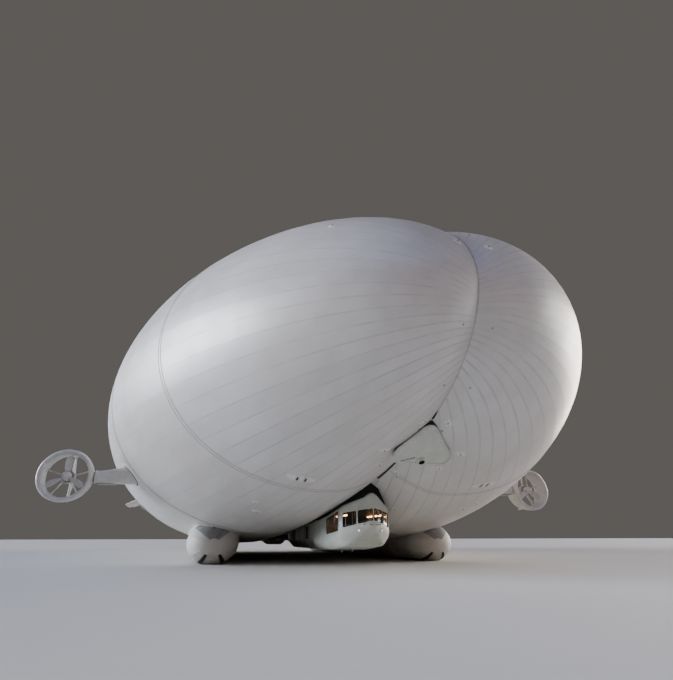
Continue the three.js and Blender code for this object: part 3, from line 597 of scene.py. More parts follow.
def hull_skin():
    """Both lobes as one skin, welded along the crease between them."""
    points, faces, values = port_lobe()
    middle = points[:, 0] == 0.0
    mirror = np.where(middle, np.arange(len(points)), len(points) + np.cumsum(~middle) - 1)
    both = np.concatenate([points, points[~middle] * (-1, 1, 1)])
    all_faces = faces + [tuple(int(mirror[i]) for i in reversed(face)) for face in faces]
    mesh = bpy.data.meshes.new("hull_skin")
    mesh.from_pydata((both * SHIP).tolist(), [], all_faces)
    tones = DRAWS.random((2, GORES))
    tone = np.concatenate([tones[0][values["gore"]], tones[1][values["gore"]]])
    mesh.attributes.new("gore_tone", "FLOAT", "FACE").data.foreach_set("value", tone.astype(np.float32))
    mesh.materials.append(HULL_FABRIC)
    mesh.materials.append(TAPE)
    taped = np.concatenate([values["taped"], values["taped"]])
    mesh.polygons.foreach_set("material_index", taped.astype(np.int32))
    mesh.shade_smooth()
    mesh.set_sharp_from_angle(angle=math.radians(50))
    made = bpy.data.objects.new("hull_skin", mesh)
    bpy.context.scene.collection.objects.link(made)
    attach(made, "airship")
    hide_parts("hull_envelope")
    return BVHTree.FromPolygons(both.tolist(), all_faces)


HULL_TREE = hull_skin()


# Laying things on the hull
def on_hull(point):
    """The nearest point of the hull's skin, and the outward direction there."""
    spot, normal, _, _ = HULL_TREE.find_nearest(Vector(point))
    _, axis_x, axis_z = lobe_at(spot.y)
    middle = Vector((math.copysign(float(axis_x), spot.x), spot.y, float(axis_z)))
    return spot, normal if normal.dot(spot - middle) > 0 else -normal


def ribbon(path, width, lift=0.014, loop=False):
    """A thin band along a path on the hull, its edges let into the skin."""
    spots = [on_hull(point) for point in path]
    rings = []
    for i, (spot, normal) in enumerate(spots):
        before = spots[i - 1][0] if loop or i else spot
        after = spots[(i + 1) % len(spots)][0] if loop or i + 1 < len(spots) else spot
        side = normal.cross(after - before).normalized() * width / 2
        section = ((-1, -SUNK), (-0.8, lift), (0.8, lift), (1, -SUNK))
        rings.append([spot + side * across + normal * rise for across, rise in section])
    return lofted(rings, closed=not loop)


def laid(place, along, outline, levels):
    """An outline laid on the hull at a place, built up through levels of (scale, rise)."""
    spot, normal = on_hull(place)
    along = Vector(along)
    u = (along - normal * along.dot(normal)).normalized()
    v = normal.cross(u)
    rings = []
    for scale, rise in levels:
        ring = [on_hull(spot + u * (a * scale) + v * (b * scale)) for a, b in outline]
        rings.append([at + out * rise for at, out in ring])
    return lofted(rings)


def fingers(size, count, stretch=1.0):
    """The outline of a load patch, cut into fingers with square tips."""
    outline = []
    for i in range(count * 4):
        reach = size if i % 4 < 2 else size * 0.5
        angle = (i + 0.5) / (count * 4) * math.tau
        outline.append((reach * math.cos(angle), stretch * reach * math.sin(angle)))
    return outline


def meeting(lines):
    """Where lines of points, each running from outside the port lobe inwards, first enter it."""
    lines = np.asarray(lines, float)
    inside = inside_lobe(lines)
    return [line[i] for line, i, enters in zip(lines, inside.argmax(1), inside.any(1)) if enters]


# Dressing on the hull: ring seams, the crease between the lobes, load patches, hatches and valves.
RING_SEAMS = (-35.2, -24.5, -13.5, -2.5, 8.5, 19.5, 30.5)
RING_SEAM_WIDTH, RING_SEAM_SPACING = 0.06, 0.24
CREASE_CORD = 0.045
EYELET_PITCH, EYELET_OFFSET, EYELET_SIZE = 2.6, 0.8, 0.045


def ring_seams():
    """Doubled ring seams where the gores' lengths of cloth are joined."""
    seams = []
    for y in RING_SEAMS:
        for shift in (-RING_SEAM_SPACING / 2, RING_SEAM_SPACING / 2):
            path = lobe_points(np.linspace(math.pi, -math.pi, 220), y + shift)
            seams.append(on_both_sides(ribbon(path[path[:, 0] > 0.15], RING_SEAM_WIDTH)))
    piece("hull_ring_seams", together(seams), SEAM, slot="hull_fabric")


def crease_path():
    """Points round the crease between the lobes, from the nose over the top and back underneath."""
    path = []
    middle = Vector((0.004, GORE_MIDDLE[1], AXIS_Z))
    for turn in around(360):
        towards = Vector((0, -math.cos(turn) * GORE_REACH, math.sin(turn) * GORE_SPREAD))
        spot = HULL_TREE.ray_cast(middle, towards.normalized())[0]
        path.append(Vector((0, spot.y, spot.z)))
    return path


def crease():
    """The laced cord that closes the crease, with eyelets in both lobes along it."""
    path = crease_path()
    piece("crease_closing_cord", tube(path, CREASE_CORD, 10, loop=True), SEAM, slot="hull_fabric")
    eyelets, walked = [], 0.0
    for before, after in zip(path, path[1:]):
        walked += (after - before).length
        if walked < EYELET_PITCH:
            continue
        walked = 0.0
        for side in (-1, 1):
            beside = after + Vector((side * EYELET_OFFSET, 0, 0))
            levels = ((1, -SUNK), (1, 0.03), (0.7, 0.035))
            eyelets.append(laid(beside, (0, 1, 0), circle(EYELET_SIZE, 10), levels))
    piece("crease_eyelets", together(eyelets), COWL_PAINT, slot="dark_frame")


# Load patches on the port lobe and then on the starboard one: place on the hull, size and stretch.
LOAD_PATCHES = (
    ((0.62, -41.13, 6.62), 0.34, 1.0), ((2.01, -39.64, 5.51), 0.42, 0.6), ((1.69, -37.99, 5.05), 0.3, 1.0),
    ((0.42, -35.41, 5.08), 0.3, 1.0), ((2.13, -30.98, 3.43), 0.36, 0.7), ((2.23, -27.82, 2.99), 0.3, 1.0),
    ((2.18, -21.64, 2.5), 0.3, 1.0), ((6.85, -32.92, 3.74), 0.32, 1.0), ((6.38, -32.13, 3.45), 0.46, 0.6),
    ((0.97, -45.51, 13.57), 0.3, 1.0), ((5.67, -43.3, 14.92), 0.3, 1.0),
    ((-0.62, -41.15, 6.62), 0.42, 0.6), ((-2.05, -39.64, 5.49), 0.44, 0.6), ((-1.74, -38.1, 5.07), 0.28, 1.0),
    ((-2.29, -30.82, 3.35), 0.36, 0.7), ((-2.48, -27.77, 2.89), 0.28, 1.0), ((-6.98, -32.23, 3.6), 0.3, 1.0),
    ((-6.72, -30.67, 3.19), 0.46, 0.6), ((-0.55, -45.35, 13.63), 0.3, 1.0), ((-5.67, -43.3, 14.92), 0.3, 1.0),
)
PATCH_SIZE = 0.8
PATCH_LEVELS = ((1, -SUNK), (0.98, 0.016), (0.5, 0.024), (0.2, 0.034))
INLET_PLACE = (5.3, -36.4, 4.45)
VALVE_PLACES = (
    (14.6, -14.0, 4.4), (14.8, 4.0, 4.6), (13.4, 20.0, 6.2),
    (5.6, -22.0, 23.0), (5.6, 6.0, 23.2), (5.6, 26.0, 21.5),
)
VALVE_RING_LEVELS = ((1.15, -SUNK), (1.15, 0.03), (1, 0.05), (0.86, 0.05), (0.84, 0.01))
VALVE_LID_LEVELS = ((1, 0), (1, 0.06), (0.9, 0.09), (0.3, 0.11))
GUARD_REACH, GUARD_SHOULDER, GUARD_TOP = 0.46, 0.14, 0.18


def load_patches():
    """White fingered patches, each with a webbing tab and a steel ring for a line."""
    patches, tabs, rings = [], [], []
    for place, size, stretch in LOAD_PATCHES:
        patches.append(laid(place, (1, 0, 0), fingers(size * PATCH_SIZE, 8, stretch), PATCH_LEVELS))
        spot, normal = on_hull(place)
        u, v = basis(normal)
        foot = spot + normal * 0.02
        tabs.append(tube([foot - u * 0.05, foot + normal * 0.03, foot + u * 0.05], 0.014, 8))
        rings.append(hoop(foot + normal * 0.06, v, 0.04, 0.009))
    piece("load_patches", together(patches), PATCH, slot="hull_fabric")
    piece("load_patch_tabs", together(tabs), WEBBING, slot="dark_frame")
    piece("load_patch_rings", together(rings), FITTINGS, slot="dark_frame")


def air_inlets():
    """White air-inlet patches under the nose, each with two black slots in a frame, painted shade of the
    inlet openings.
    """
    patches, frames, slot_shades = [], [], []
    for side in (-1, 1):
        place = Vector((side * INLET_PLACE[0], INLET_PLACE[1], INLET_PLACE[2]))
        _, normal = on_hull(place)
        along = Vector((1, 0, 0)) - normal * normal.x
        oval = [
            (0.78 * math.cos(a), 0.3 * math.copysign(abs(math.sin(a)) ** 0.7, math.sin(a)))
            for a in around(40)
        ]
        patches.append(laid(place, along, oval, ((1, -SUNK), (0.98, 0.018), (0.5, 0.022))))
        for shift in (-0.21, 0.21):
            at = place + along.normalized() * shift
            frames.append(laid(at, along, rounded(0.21, 0.46, 0.06), ((1, 0), (1, 0.045), (0.86, 0.055))))
            # Painted shade: black blocks stand for the dark openings of the slots.
            slot_shades.append(laid(at, along, rounded(0.09, 0.34, 0.035), ((1, 0.02), (1, 0.062))))
    piece("inlet_patches", together(patches), PATCH, slot="hull_fabric")
    piece("inlet_frames", together(frames), PALE_PAINT, slot="composite")
    piece("inlet_slot_shades", together(slot_shades), RUBBER_AND_SHADE, slot="dark_frame")


def gas_valves():
    """Round gas valves on the lobes' flanks and crowns: a clamped ring, a sprung lid and guard bars."""
    rings, lids, bars = [], [], []
    for x, y, z in VALVE_PLACES:
        for side in (-1, 1):
            place = (side * x, y, z)
            rings.append(laid(place, (0, 1, 0), circle(0.5, 36), VALVE_RING_LEVELS))
            lids.append(laid(place, (0, 1, 0), circle(0.4, 36), VALVE_LID_LEVELS))
            spot, normal = on_hull(place)
            u, v = basis(normal)
            for turn in (0, math.pi / 3, 2 * math.pi / 3):
                out = (u * math.cos(turn) + v * math.sin(turn)) * GUARD_REACH
                shoulders = [spot + out * share + normal * GUARD_SHOULDER for share in (-0.9, 0.9)]
                arch = [spot - out, shoulders[0], spot + normal * GUARD_TOP, shoulders[1], spot + out]
                bars.append(tube(arch, 0.018, 8))
    piece("gas_valve_rings", together(rings), PALE_PAINT, slot="composite")
    piece("gas_valve_lids", together(lids), COWL_PAINT, slot="engine_cowl")
    piece("gas_valve_guards", together(bars), FITTINGS, slot="dark_frame")


ring_seams()
crease()
load_patches()
air_inlets()
gas_valves()


# The landing skids: long inflated tubes of coated cloth, seamed into cells, flat where they stand.
SKID_X, SKID_Z = 8.72, 1.38
SKID_HALF_WIDTH, SKID_HALF_HEIGHT = 1.87, 1.45
SKID_NOSE, SKID_NOSE_LENGTH = -24.2, 1.9
SKID_TAIL, SKID_TAIL_LENGTH = 18.2, 3.6
SKID_CELL, SKID_PINCH = 2.02, 0.045
SKID_SIDES = 56


def skid_rings(stations, turns, proud=0.0):
    """Points of the port skid's skin at stations along it and turns round it."""
    y = np.asarray(stations, float)[:, None]
    nose = np.clip((SKID_NOSE + SKID_NOSE_LENGTH - y) / SKID_NOSE_LENGTH, 0, 1)
    tail = np.clip((y - SKID_TAIL + SKID_TAIL_LENGTH) / SKID_TAIL_LENGTH, 0, 1)
    size = np.sqrt(1 - nose**2) * np.sqrt(1 - tail**2)
    from_seam = (y - SKID_NOSE) % SKID_CELL
    from_seam = np.minimum(from_seam, SKID_CELL - from_seam)
    pinch = SKID_PINCH * np.exp(-((from_seam / 0.16) ** 2)) - proud
    turns = np.asarray(turns, float)[None, :]
    x = SKID_X + (SKID_HALF_WIDTH * size - pinch) * np.cos(turns)
    z = np.maximum(0.004, SKID_Z + (SKID_HALF_HEIGHT * size - pinch) * np.sin(turns))
    return np.stack(np.broadcast_arrays(x, y, z), -1)


def skids():
    """Each skid with its seams, nose band, rubbing strips and the curtain that joins it to the hull."""
    nose = SKID_NOSE + SKID_NOSE_LENGTH * (1 - np.cos(np.linspace(0.06, math.pi / 2, 18)))
    tail = SKID_TAIL - SKID_TAIL_LENGTH * (1 - np.cos(np.linspace(math.pi / 2, 0.06, 20)))
    cells = np.arange(SKID_NOSE + SKID_CELL, SKID_TAIL - SKID_TAIL_LENGTH, SKID_CELL)
    middle = (cells[:, None] + np.array([-0.2, -0.1, 0, 0.1, 0.2, SKID_CELL / 2])[None, :]).reshape(-1)
    stations = np.sort(np.concatenate([nose, middle[(middle > nose[-1]) & (middle < tail[0])], tail]))
    turns = around(SKID_SIDES) + 0.02
    skin = lofted(skid_rings(stations, turns))
    bounds = cells[cells < SKID_TAIL - 1.6]
    seams = [tube(skid_rings([y], turns, 0.012)[0], 0.022, 6, loop=True) for y in bounds]
    run = stations[(stations > SKID_NOSE + 0.3) & (stations < SKID_TAIL - 0.5)]
    for turn in (0.35, math.pi - 0.35, -0.62, math.pi + 0.62):
        seams.append(tube(skid_rings(run, [turn], 0.01)[:, 0], 0.026, 6))
    strips = []
    for turn in (-1.12, math.pi + 1.12):
        section = ((-0.1, 0.0), (-0.08, 0.035), (0.08, 0.035), (0.1, 0.0))
        rings = [skid_rings(run, [turn + shift], proud)[:, 0] for shift, proud in section]
        strips.append(lofted(np.stack(rings, 1)))
    band_turns = np.linspace(0.75, math.pi - 0.75, 24)
    banded = stations[stations < SKID_NOSE + 3.2][2:]
    outer, inner = (skid_rings(banded, band_turns, proud) for proud in (0.03, -0.03))
    band = lofted(np.concatenate([outer, inner[:, ::-1]], 1))
    curtain_run = np.linspace(SKID_NOSE + 0.6, SKID_TAIL - 0.9, 90)
    curtains, cords = [], []
    for low, high in ((0.0, math.pi / 2), (math.pi, math.pi / 2)):
        path = meeting(skid_rings(curtain_run, np.linspace(low, high, 80)))
        curtains.append(ribbon(path, 0.55))
        cords.append(tube([on_hull(p)[0] for p in path], 0.05, 8))
    node = "landing_skid_{side}"
    on_each_side("{side}_skid_skin", skin, SKID_FABRIC, slot="skid_fabric", stands_for=[node])
    on_each_side("{side}_skid_seams", together(seams), SKID_FABRIC, slot="skid_fabric")
    on_each_side("{side}_skid_rubbing_strips", together(strips), RUBBER_AND_SHADE, slot="dark_frame")
    on_each_side("{side}_skid_nose_band", band, NOSE_BAND, slot="dark_frame")
    on_each_side("{side}_skid_curtain", together(curtains), PATCH, slot="skid_fabric")
    on_each_side("{side}_skid_curtain_cords", together(cords), WEBBING, slot="skid_fabric")


skids()


# The four propulsors. Each unit's shapes are laid out about its duct's centre, the flow running along +Y.
FRONT_DUCT, REAR_DUCT = (19.242, -22.437, 5.742), (5.61, 43.65, 14.302)
THROAT, DUCT_END, DUCT_SIDES = 1.44, 0.82, 112
STATOR_Y, STATOR_CHORD, STATOR_THICK, STATORS = 0.44, 0.34, 0.075, 5
COLLAR = 0.45
VANE_HINGE, VANE_HALF, VANE_TAIL, VANE_TAIL_HALF = 1.5, 1.4, 2.35, 0.3
BLADES, BLADE_Y, BLADE_TIP, BLADE_ROUNDS_FROM = 3, -0.2, 1.365, 1.16
# Each blade's sections from root to tip: radius, chord, thickness and pitch in degrees.
BLADE_SECTIONS = np.array([
    (0.2, 0.2, 0.15, 64), (0.32, 0.38, 0.12, 58), (0.55, 0.5, 0.09, 47),
    (0.95, 0.54, 0.07, 34), (1.25, 0.46, 0.05, 27), (BLADE_TIP, 0.3, 0.03, 24),
])


def aerofoil(chord, thick):
    """A round-nosed section as (along, across) points, its nose at -chord / 2."""
    share = (1 - np.cos(np.linspace(0, math.pi, 13))) / 2
    front = 0.2969 * np.sqrt(share) - 0.126 * share - 0.3516 * share**2
    curve = front + 0.2843 * share**3 - 0.1036 * share**4
    half = 5 * thick * curve
    along = (share - 0.5) * chord
    return np.concatenate([np.stack([along, half], 1), np.stack([along, -half], 1)[-2:0:-1]])


def duct_profile():
    """The duct ring's section: bell mouth, outer skin and diffuser."""
    quarter = np.linspace(0, math.pi / 2, 12)
    mouth = [(1.6 - 0.16 * math.cos(a), -0.3 - 0.52 * math.sin(a)) for a in quarter]
    crown = [(1.6 + 0.172 * math.sin(a), -0.55 - 0.27 * math.cos(a)) for a in quarter[1:]]
    outside = [
        (1.765, -0.44), (1.755, -0.25), (1.733, 0), (1.7, 0.25), (1.65, 0.52), (1.59, 0.79),
        (1.572, DUCT_END),
    ]
    inside = [(1.535, DUCT_END), (1.52, 0.79), (1.475, 0.5), (THROAT, 0.2), (THROAT, -0.1)]
    return mouth + crown + outside + inside


def round_the_hub(shape, count):
    """The same shape set evenly round the hub, the first one upright."""
    return together([moved(shape, turn=Matrix.Rotation(i / count * math.tau, 3, "Y")) for i in range(count)])


def stator(flow):
    """One aerofoil strut from the hub's collar to the duct's wall, flared into both."""
    rings = []
    for z, flare in ((0.4, 1.5), (0.5, 1.12), (0.6, 1.0), (1.25, 1.0), (1.36, 1.12), (1.45, 1.5)):
        section = aerofoil(STATOR_CHORD * flare, STATOR_THICK * flare)
        rings.append([(across, flow * STATOR_Y + along, z) for along, across in section])
    return lofted(rings)


def blade():
    """One twisted aerofoil blade, standing upright from the hub."""
    rings = []
    near_tip = BLADE_TIP - 0.115 * np.array([0.7, 0.45, 0.25, 0.1, 0.02])
    for radius in np.concatenate([np.linspace(0.2, 1.25, 22), near_tip]):
        chord, thick, pitch = (
            np.interp(radius, BLADE_SECTIONS[:, 0], BLADE_SECTIONS[:, i]) for i in (1, 2, 3)
        )
        rounding = max(0, (radius - BLADE_ROUNDS_FROM) / (BLADE_TIP - BLADE_ROUNDS_FROM))
        chord *= math.sqrt(max(0.02, 1 - rounding**2.4))
        cos, sin = math.cos(math.radians(pitch)), math.sin(math.radians(pitch))
        section = aerofoil(chord, thick)
        rings.append([(a * cos - b * sin, BLADE_Y + a * sin + b * cos, radius) for a, b in section])
    return lofted(rings)


# A vane's sections from its leading edge: y, half height and thickness.
VANE_SECTIONS = (
    (1.3, 1.375, 0.012), (1.306, 1.385, 0.03), (1.33, 1.395, 0.06), (1.4, VANE_HALF, 0.1),
    (VANE_HINGE, VANE_HALF, 0.12), (1.56, 1.33, 0.118), (1.7, 1.15, 0.1), (1.9, 0.89, 0.078),
    (2.1, 0.625, 0.055), (2.3, 0.365, 0.034), (VANE_TAIL, VANE_TAIL_HALF, 0.024),
)


def vane():
    """The triangular vane behind a duct: an aerofoil plate of doped fabric with rib tapes."""
    rings = []
    for y, half, thick in VANE_SECTIONS:
        rings.append([(x, y, z) for x, z in rounded(thick, half * 2, thick * 0.49, 3)])
    skin = lofted(rings)
    ribs = []
    for z in (-1.1, -0.75, -0.4, 0.0, 0.4, 0.75, 1.1):
        end = min(VANE_TAIL - 0.05, VANE_TAIL - (abs(z) - VANE_TAIL_HALF) * 0.773 - 0.06)
        run = np.linspace(1.36, end, 7)
        proud = np.interp(run, (1.3, VANE_HINGE, VANE_TAIL), (0.03, 0.06, 0.012))
        for side in (-1, 1):
            ribs.append(tube([(side * float(x), y, z) for x, y in zip(proud, run)], 0.012, 6))
    return skin, together(ribs)


# The engine cowl's profile as (radius, y); the rear ones end in the stern cones' clamps.
COWL_SIDES = 72
COWL_FRONT = [
    (0.1, -0.035), (0.12, -0.025), (0.12, 0.165), (0.27, 0.19),
    (0.325, 0.205), (0.352, 0.25), (0.36, 0.34), (0.36, 0.78),
]
COWL_FRONT_TAIL = [(0.345, 0.86), (0.29, 1.0), (0.21, 1.11), (0.14, 1.165), (0.1, 1.17)]
COWL_REAR_TAIL = [(0.36, 0.98), (0.36, 1.168)]


def nacelle(rear):
    """An engine cowl turned about its shaft, with the cooling gills and latches on it."""
    cowl = spun(COWL_FRONT + (COWL_REAR_TAIL if rear else COWL_FRONT_TAIL), COWL_SIDES)
    slat = block((-0.042, 0.6, 0.355), (0.042, 0.612, 0.382))
    gills = round_the_hub(together([moved(slat, (0, step * 0.045, 0)) for step in range(4)]), 8)
    latch_bar = rod((-0.03, 0.5, 0.37), (0.03, 0.5, 0.37), 0.008, 8)
    latch = together([block((-0.02, 0.44, 0.355), (0.02, 0.56, 0.372)), latch_bar])
    latches = [round_the_hub(moved(latch, turn=Matrix.Rotation(math.pi / 8, 3, "Y")), 4)]
    for y in (0.36, 0.84):
        band = [(0.358, y - 0.012), (0.366, y - 0.008), (0.366, y + 0.008), (0.358, y + 0.012)]
        latches.append(turned(band, COWL_SIDES))
    return cowl, gills, together(latches)


def propulsor(end, side_name, side):
    """One ducted propeller unit with its vane."""
    place = FRONT_DUCT if end == "front" else REAR_DUCT
    flow = 1 if end == "front" else -1
    at = (side * place[0], place[1], place[2])
    name = f"{end}_{side_name}"
    duct_body = f"{name}_duct" if end == "front" else "airship"
    facing = None if flow > 0 else Matrix.Rotation(math.pi, 3, "Z")

    def fixed(what, shape, finish, slot="duct_skin", stands_for=(), turn=None):
        return piece(f"{name}_{what}", moved(shape, at, turn=turn), finish, duct_body, slot, stands_for)

    fixed("duct_ring", turned(duct_profile(), DUCT_SIDES), DUCT_PAINT, stands_for=[f"{name}_duct"])
    bands = []
    for r, y in ((1.758, -0.36), (1.697, 0.3)):
        section = [(r, y - 0.03), (r + 0.012, y - 0.02), (r + 0.012, y + 0.02), (r, y + 0.03)]
        bands.append(turned(section, DUCT_SIDES))
    fixed("duct_straps", together(bands), PALE_PAINT)
    screw = rod((0, -0.36, 1.765), (0, -0.36, 1.778), 0.014, 8)
    fixed("duct_screws", round_the_hub(screw, 40), FITTINGS, "dark_frame")
    fixed("stators", round_the_hub(stator(flow), STATORS), DUCT_PAINT)
    section = ((0.362, -0.2), (0.42, -0.2), (COLLAR, -0.17), (COLLAR, 0.17), (0.42, 0.2), (0.362, 0.2))
    collar = [(radius, flow * STATOR_Y + shift) for radius, shift in section]
    fixed("hub_collar", turned(collar, COWL_SIDES), DUCT_PAINT)
    arms, bearings = [], []
    for pole in (-1, 1):
        outline = [(0.35, -0.09), (0.35, 0.09)] + [
            (VANE_HINGE + 0.105 * math.cos(a), 0.105 * math.sin(a))
            for a in np.linspace(math.pi * 0.45, -math.pi * 0.45, 9)
        ]
        arms.append(lofted([[(x, y, pole * z) for y, x in outline] for z in (1.5, 1.515, 1.595, 1.61)]))
        bearings.append(rod((0, VANE_HINGE, pole * 1.44), (0, VANE_HINGE, pole * 1.5), 0.085, 20))
        bearings.append(rod((0, VANE_HINGE, pole * 1.61), (0, VANE_HINGE, pole * 1.65), 0.07, 20))
    fixed("vane_arms", together(arms), DUCT_PAINT)
    fixed("vane_bearings", together(bearings), FITTINGS, "dark_frame")

    cowl, gills, latches = nacelle(end == "rear")
    fixed("engine_cowl", cowl, COWL_PAINT, "engine_cowl", [f"{name}_engine"], facing)
    fixed("engine_gills", gills, FRAME_METAL, "dark_frame", (), facing)
    fixed("engine_latches", latches, FITTINGS, "dark_frame", (), facing)

    spinner = [
        (0.31 * math.sqrt(max(0, 1 - ((-0.24 - y) / 0.42) ** 2)), y) for y in np.linspace(-0.655, -0.25, 16)
    ]
    spinner += [(0.31, -0.2), (0.31, 0.1), (0.3, 0.12)]
    turning = f"{name}_propeller"
    blades = moved(round_the_hub(blade(), BLADES), at, turn=facing)
    piece(f"{name}_blades", blades, BLADE_PAINT, turning, "blade", [turning])
    piece(f"{name}_spinner", moved(spun(spinner), at, turn=facing), BLADE_PAINT, turning, "blade")
    cuff = lofted([
        [(r * math.sin(a), BLADE_Y + r * math.cos(a), z) for a in around(24)]
        for r, z in ((0.13, 0.27), (0.13, 0.315), (0.115, 0.33))
    ])
    backing = turned([(0.26, 0.1), (0.322, 0.1), (0.322, 0.125), (0.26, 0.125)])
    cuffs = together([round_the_hub(cuff, BLADES), backing])
    piece(f"{name}_blade_cuffs", moved(cuffs, at, turn=facing), FITTINGS, turning, "dark_frame")

    skin, ribs = vane()
    body = f"{name}_vane"
    piece(f"{name}_vane_skin", moved(skin, at), FIN_FABRIC, body, "fin_skin", [body])
    piece(f"{name}_vane_ribs", moved(ribs, at), PATCH, body, "fin_skin")
    pins = together([rod((0, VANE_HINGE, p * 1.38), (0, VANE_HINGE, p * 1.6), 0.05) for p in (-1, 1)])
    outline = ((0, 1.42), (0.22, 1.46), (0.24, 1.5), (0.22, 1.54), (0, 1.58))
    horn = lofted([[(x, y, z) for x, y in outline] for z in (-1.33, -1.3)])
    piece(f"{name}_vane_pins", moved(together([pins, horn]), at), FITTINGS, body, "dark_frame")


for end in ("front", "rear"):
    for side_name, side in SIDES:
        propulsor(end, side_name, side)

# The pylons that carry the front ducts, and the trunnions that turn in them.
PYLON_END, PYLON_END_RADIUS = 17.342, 0.44
PYLON_ROOT_X, PYLON_ROOT_Z, PYLON_ROOT_HALF_Y, PYLON_ROOT_HALF_Z = 13.6, 6.35, 1.75, 1.05
PYLON_FLARE, PYLON_SIDES = 1.6, 56
TRUNNION = 0.28
# Profiles as (radius, y) along the pylon's axis, which is laid along Y until disc() turns it to -X.
PYLON_RING = [(0.3, -17.3), (0.44, -17.3), (0.465, -17.32), (0.465, -17.4), (0.44, -17.42), (0.3, -17.42)]
PYLON_BOOT = [(TRUNNION, -17.43), (0.34, -17.435), (0.37, -17.465), (0.34, -17.5), (TRUNNION, -17.52)]
TRUNNION_PROFILE = [
    (0.0, -17.0), (TRUNNION, -17.0), (TRUNNION, -17.46), (0.34, -17.5), (0.42, -17.53), (0.44, -17.6),
    (0.0, -17.6),
]


def pylon_point(part, turn):
    """A point of the port pylon's skin."""
    eased = (1 - part) ** PYLON_FLARE
    half_y = PYLON_END_RADIUS + (PYLON_ROOT_HALF_Y - PYLON_END_RADIUS) * eased
    half_z = PYLON_END_RADIUS + (PYLON_ROOT_HALF_Z - PYLON_END_RADIUS) * eased
    x = PYLON_ROOT_X + (PYLON_END - PYLON_ROOT_X) * part
    z = FRONT_DUCT[2] + (PYLON_ROOT_Z - FRONT_DUCT[2]) * eased
    return x, FRONT_DUCT[1] + half_y * math.cos(turn), z + half_z * math.sin(turn)


def pylons():
    """Each pylon with its root band on the hull, panel seams and end ring, and the duct's trunnion."""
    turns = around(PYLON_SIDES)
    parts = np.linspace(0, 0.985, 26)
    skin = lofted([[pylon_point(p, t) for t in turns] for p in parts])
    root = meeting([[pylon_point(p, t) for p in np.linspace(0.95, 0, 500)] for t in turns])
    band = ribbon(root, 0.7, 0.02, loop=True)
    cord = tube([on_hull(p)[0] for p in root], 0.06, 10, loop=True)
    seams = together([tube([pylon_point(p, t) for t in turns], 0.014, 6, loop=True) for p in (0.62, 0.8)])
    _, y, z = FRONT_DUCT

    def disc(profile):
        return moved(turned(profile, PYLON_SIDES), (0, y, z), turn=Matrix.Rotation(math.pi / 2, 3, "Z"))

    rings = []
    for x, size in ((15.9, 0.5), (16.1, 1), (17.1, 1), (17.25, 0.7)):
        section = rounded(0.42 * size, 0.34 * size, 0.1 * size)
        rings.append([(x, y + dy, z - 0.34 + dz) for dy, dz in section])
    motor = together([lofted(rings), rod((17.0, y - 0.12, z - 0.42), (17.32, y - 0.12, z - 0.4), 0.05, 16)])
    node, duct = "front_{side}_pylon", "front_{side}_duct"
    on_each_side("{side}_pylon_skin", skin, PALE_PAINT, slot="composite", stands_for=[node])
    on_each_side("{side}_pylon_root_band", band, PATCH, slot="hull_fabric")
    on_each_side("{side}_pylon_root_cord", cord, WEBBING, slot="hull_fabric")
    on_each_side("{side}_pylon_seams", seams, PALE_PAINT, slot="composite")
    on_each_side("{side}_pylon_end_ring", disc(PYLON_RING), DUCT_PAINT, slot="composite")
    on_each_side("{side}_pylon_tilt_motor", motor, COWL_PAINT, slot="engine_cowl")
    on_each_side("{side}_pylon_boot", disc(PYLON_BOOT), RUBBER_AND_SHADE, duct, "dark_frame")
    on_each_side("{side}_pylon_trunnion", disc(TRUNNION_PROFILE), DUCT_PAINT, duct, "duct_skin")


pylons()


# The laced cones that carry the rear ducts.
# Each cone's radius, and how far ahead of its end that radius is.
CONE_PROFILE = np.array([
    (0.36, 0.0), (0.47, 0.2), (0.8, 0.7), (1.21, 1.42), (1.6, 2.2), (1.93, 2.92), (2.2, 3.6),
])
CONE_END, CONE_LENGTH, CONE_STATIONS = REAR_DUCT[1] - 1.174, 3.6, 28


def stern_cones():
    """Each cone in hull fabric over a stiff frame, with a laced edge on the lobe's tail."""
    end = CONE_END
    profile = []
    for ahead in np.linspace(0, CONE_LENGTH, CONE_STATIONS)[::-1]:
        profile.append((float(np.interp(ahead, CONE_PROFILE[:, 1], CONE_PROFILE[:, 0])), end - ahead))
    x, _, z = REAR_DUCT
    fine, coarse = np.linspace(0, CONE_STATIONS - 1, 120), np.arange(CONE_STATIONS)
    lines = []
    for t in around(64):
        line = np.array([(x + r * math.sin(t), y, z + r * math.cos(t)) for r, y in profile[::-1]])
        lines.append(np.stack([np.interp(fine, coarse, line[:, i]) for i in range(3)], 1))
    root = meeting(lines)
    edge = ribbon(root, 0.4, 0.02, loop=True)
    stitches = tube([on_hull(p)[0] for p in root], 0.045, 8, loop=True)
    seams = []
    for t in around(12):
        proud = [(r + 0.004, y) for r, y in profile]
        seams.append(tube([(x + r * math.sin(t), y, z + r * math.cos(t)) for r, y in proud], 0.014, 6))
    clamp = turned([(0.36, end - 0.12), (0.42, end - 0.12), (0.42, end - 0.01), (0.36, end - 0.01)])
    skin = moved(spun(profile, 72), (x, 0, z))
    node = "stern_cone_{side}"
    on_each_side("{side}_stern_cone_skin", skin, HULL_FABRIC, slot="hull_fabric", stands_for=[node])
    on_each_side("{side}_stern_cone_edge", edge, PATCH, slot="hull_fabric")
    on_each_side("{side}_stern_cone_cords", together([stitches] + seams), WEBBING, slot="hull_fabric")
    on_each_side("{side}_stern_cone_clamp", moved(clamp, (x, 0, z)), FITTINGS, slot="dark_frame")


stern_cones()


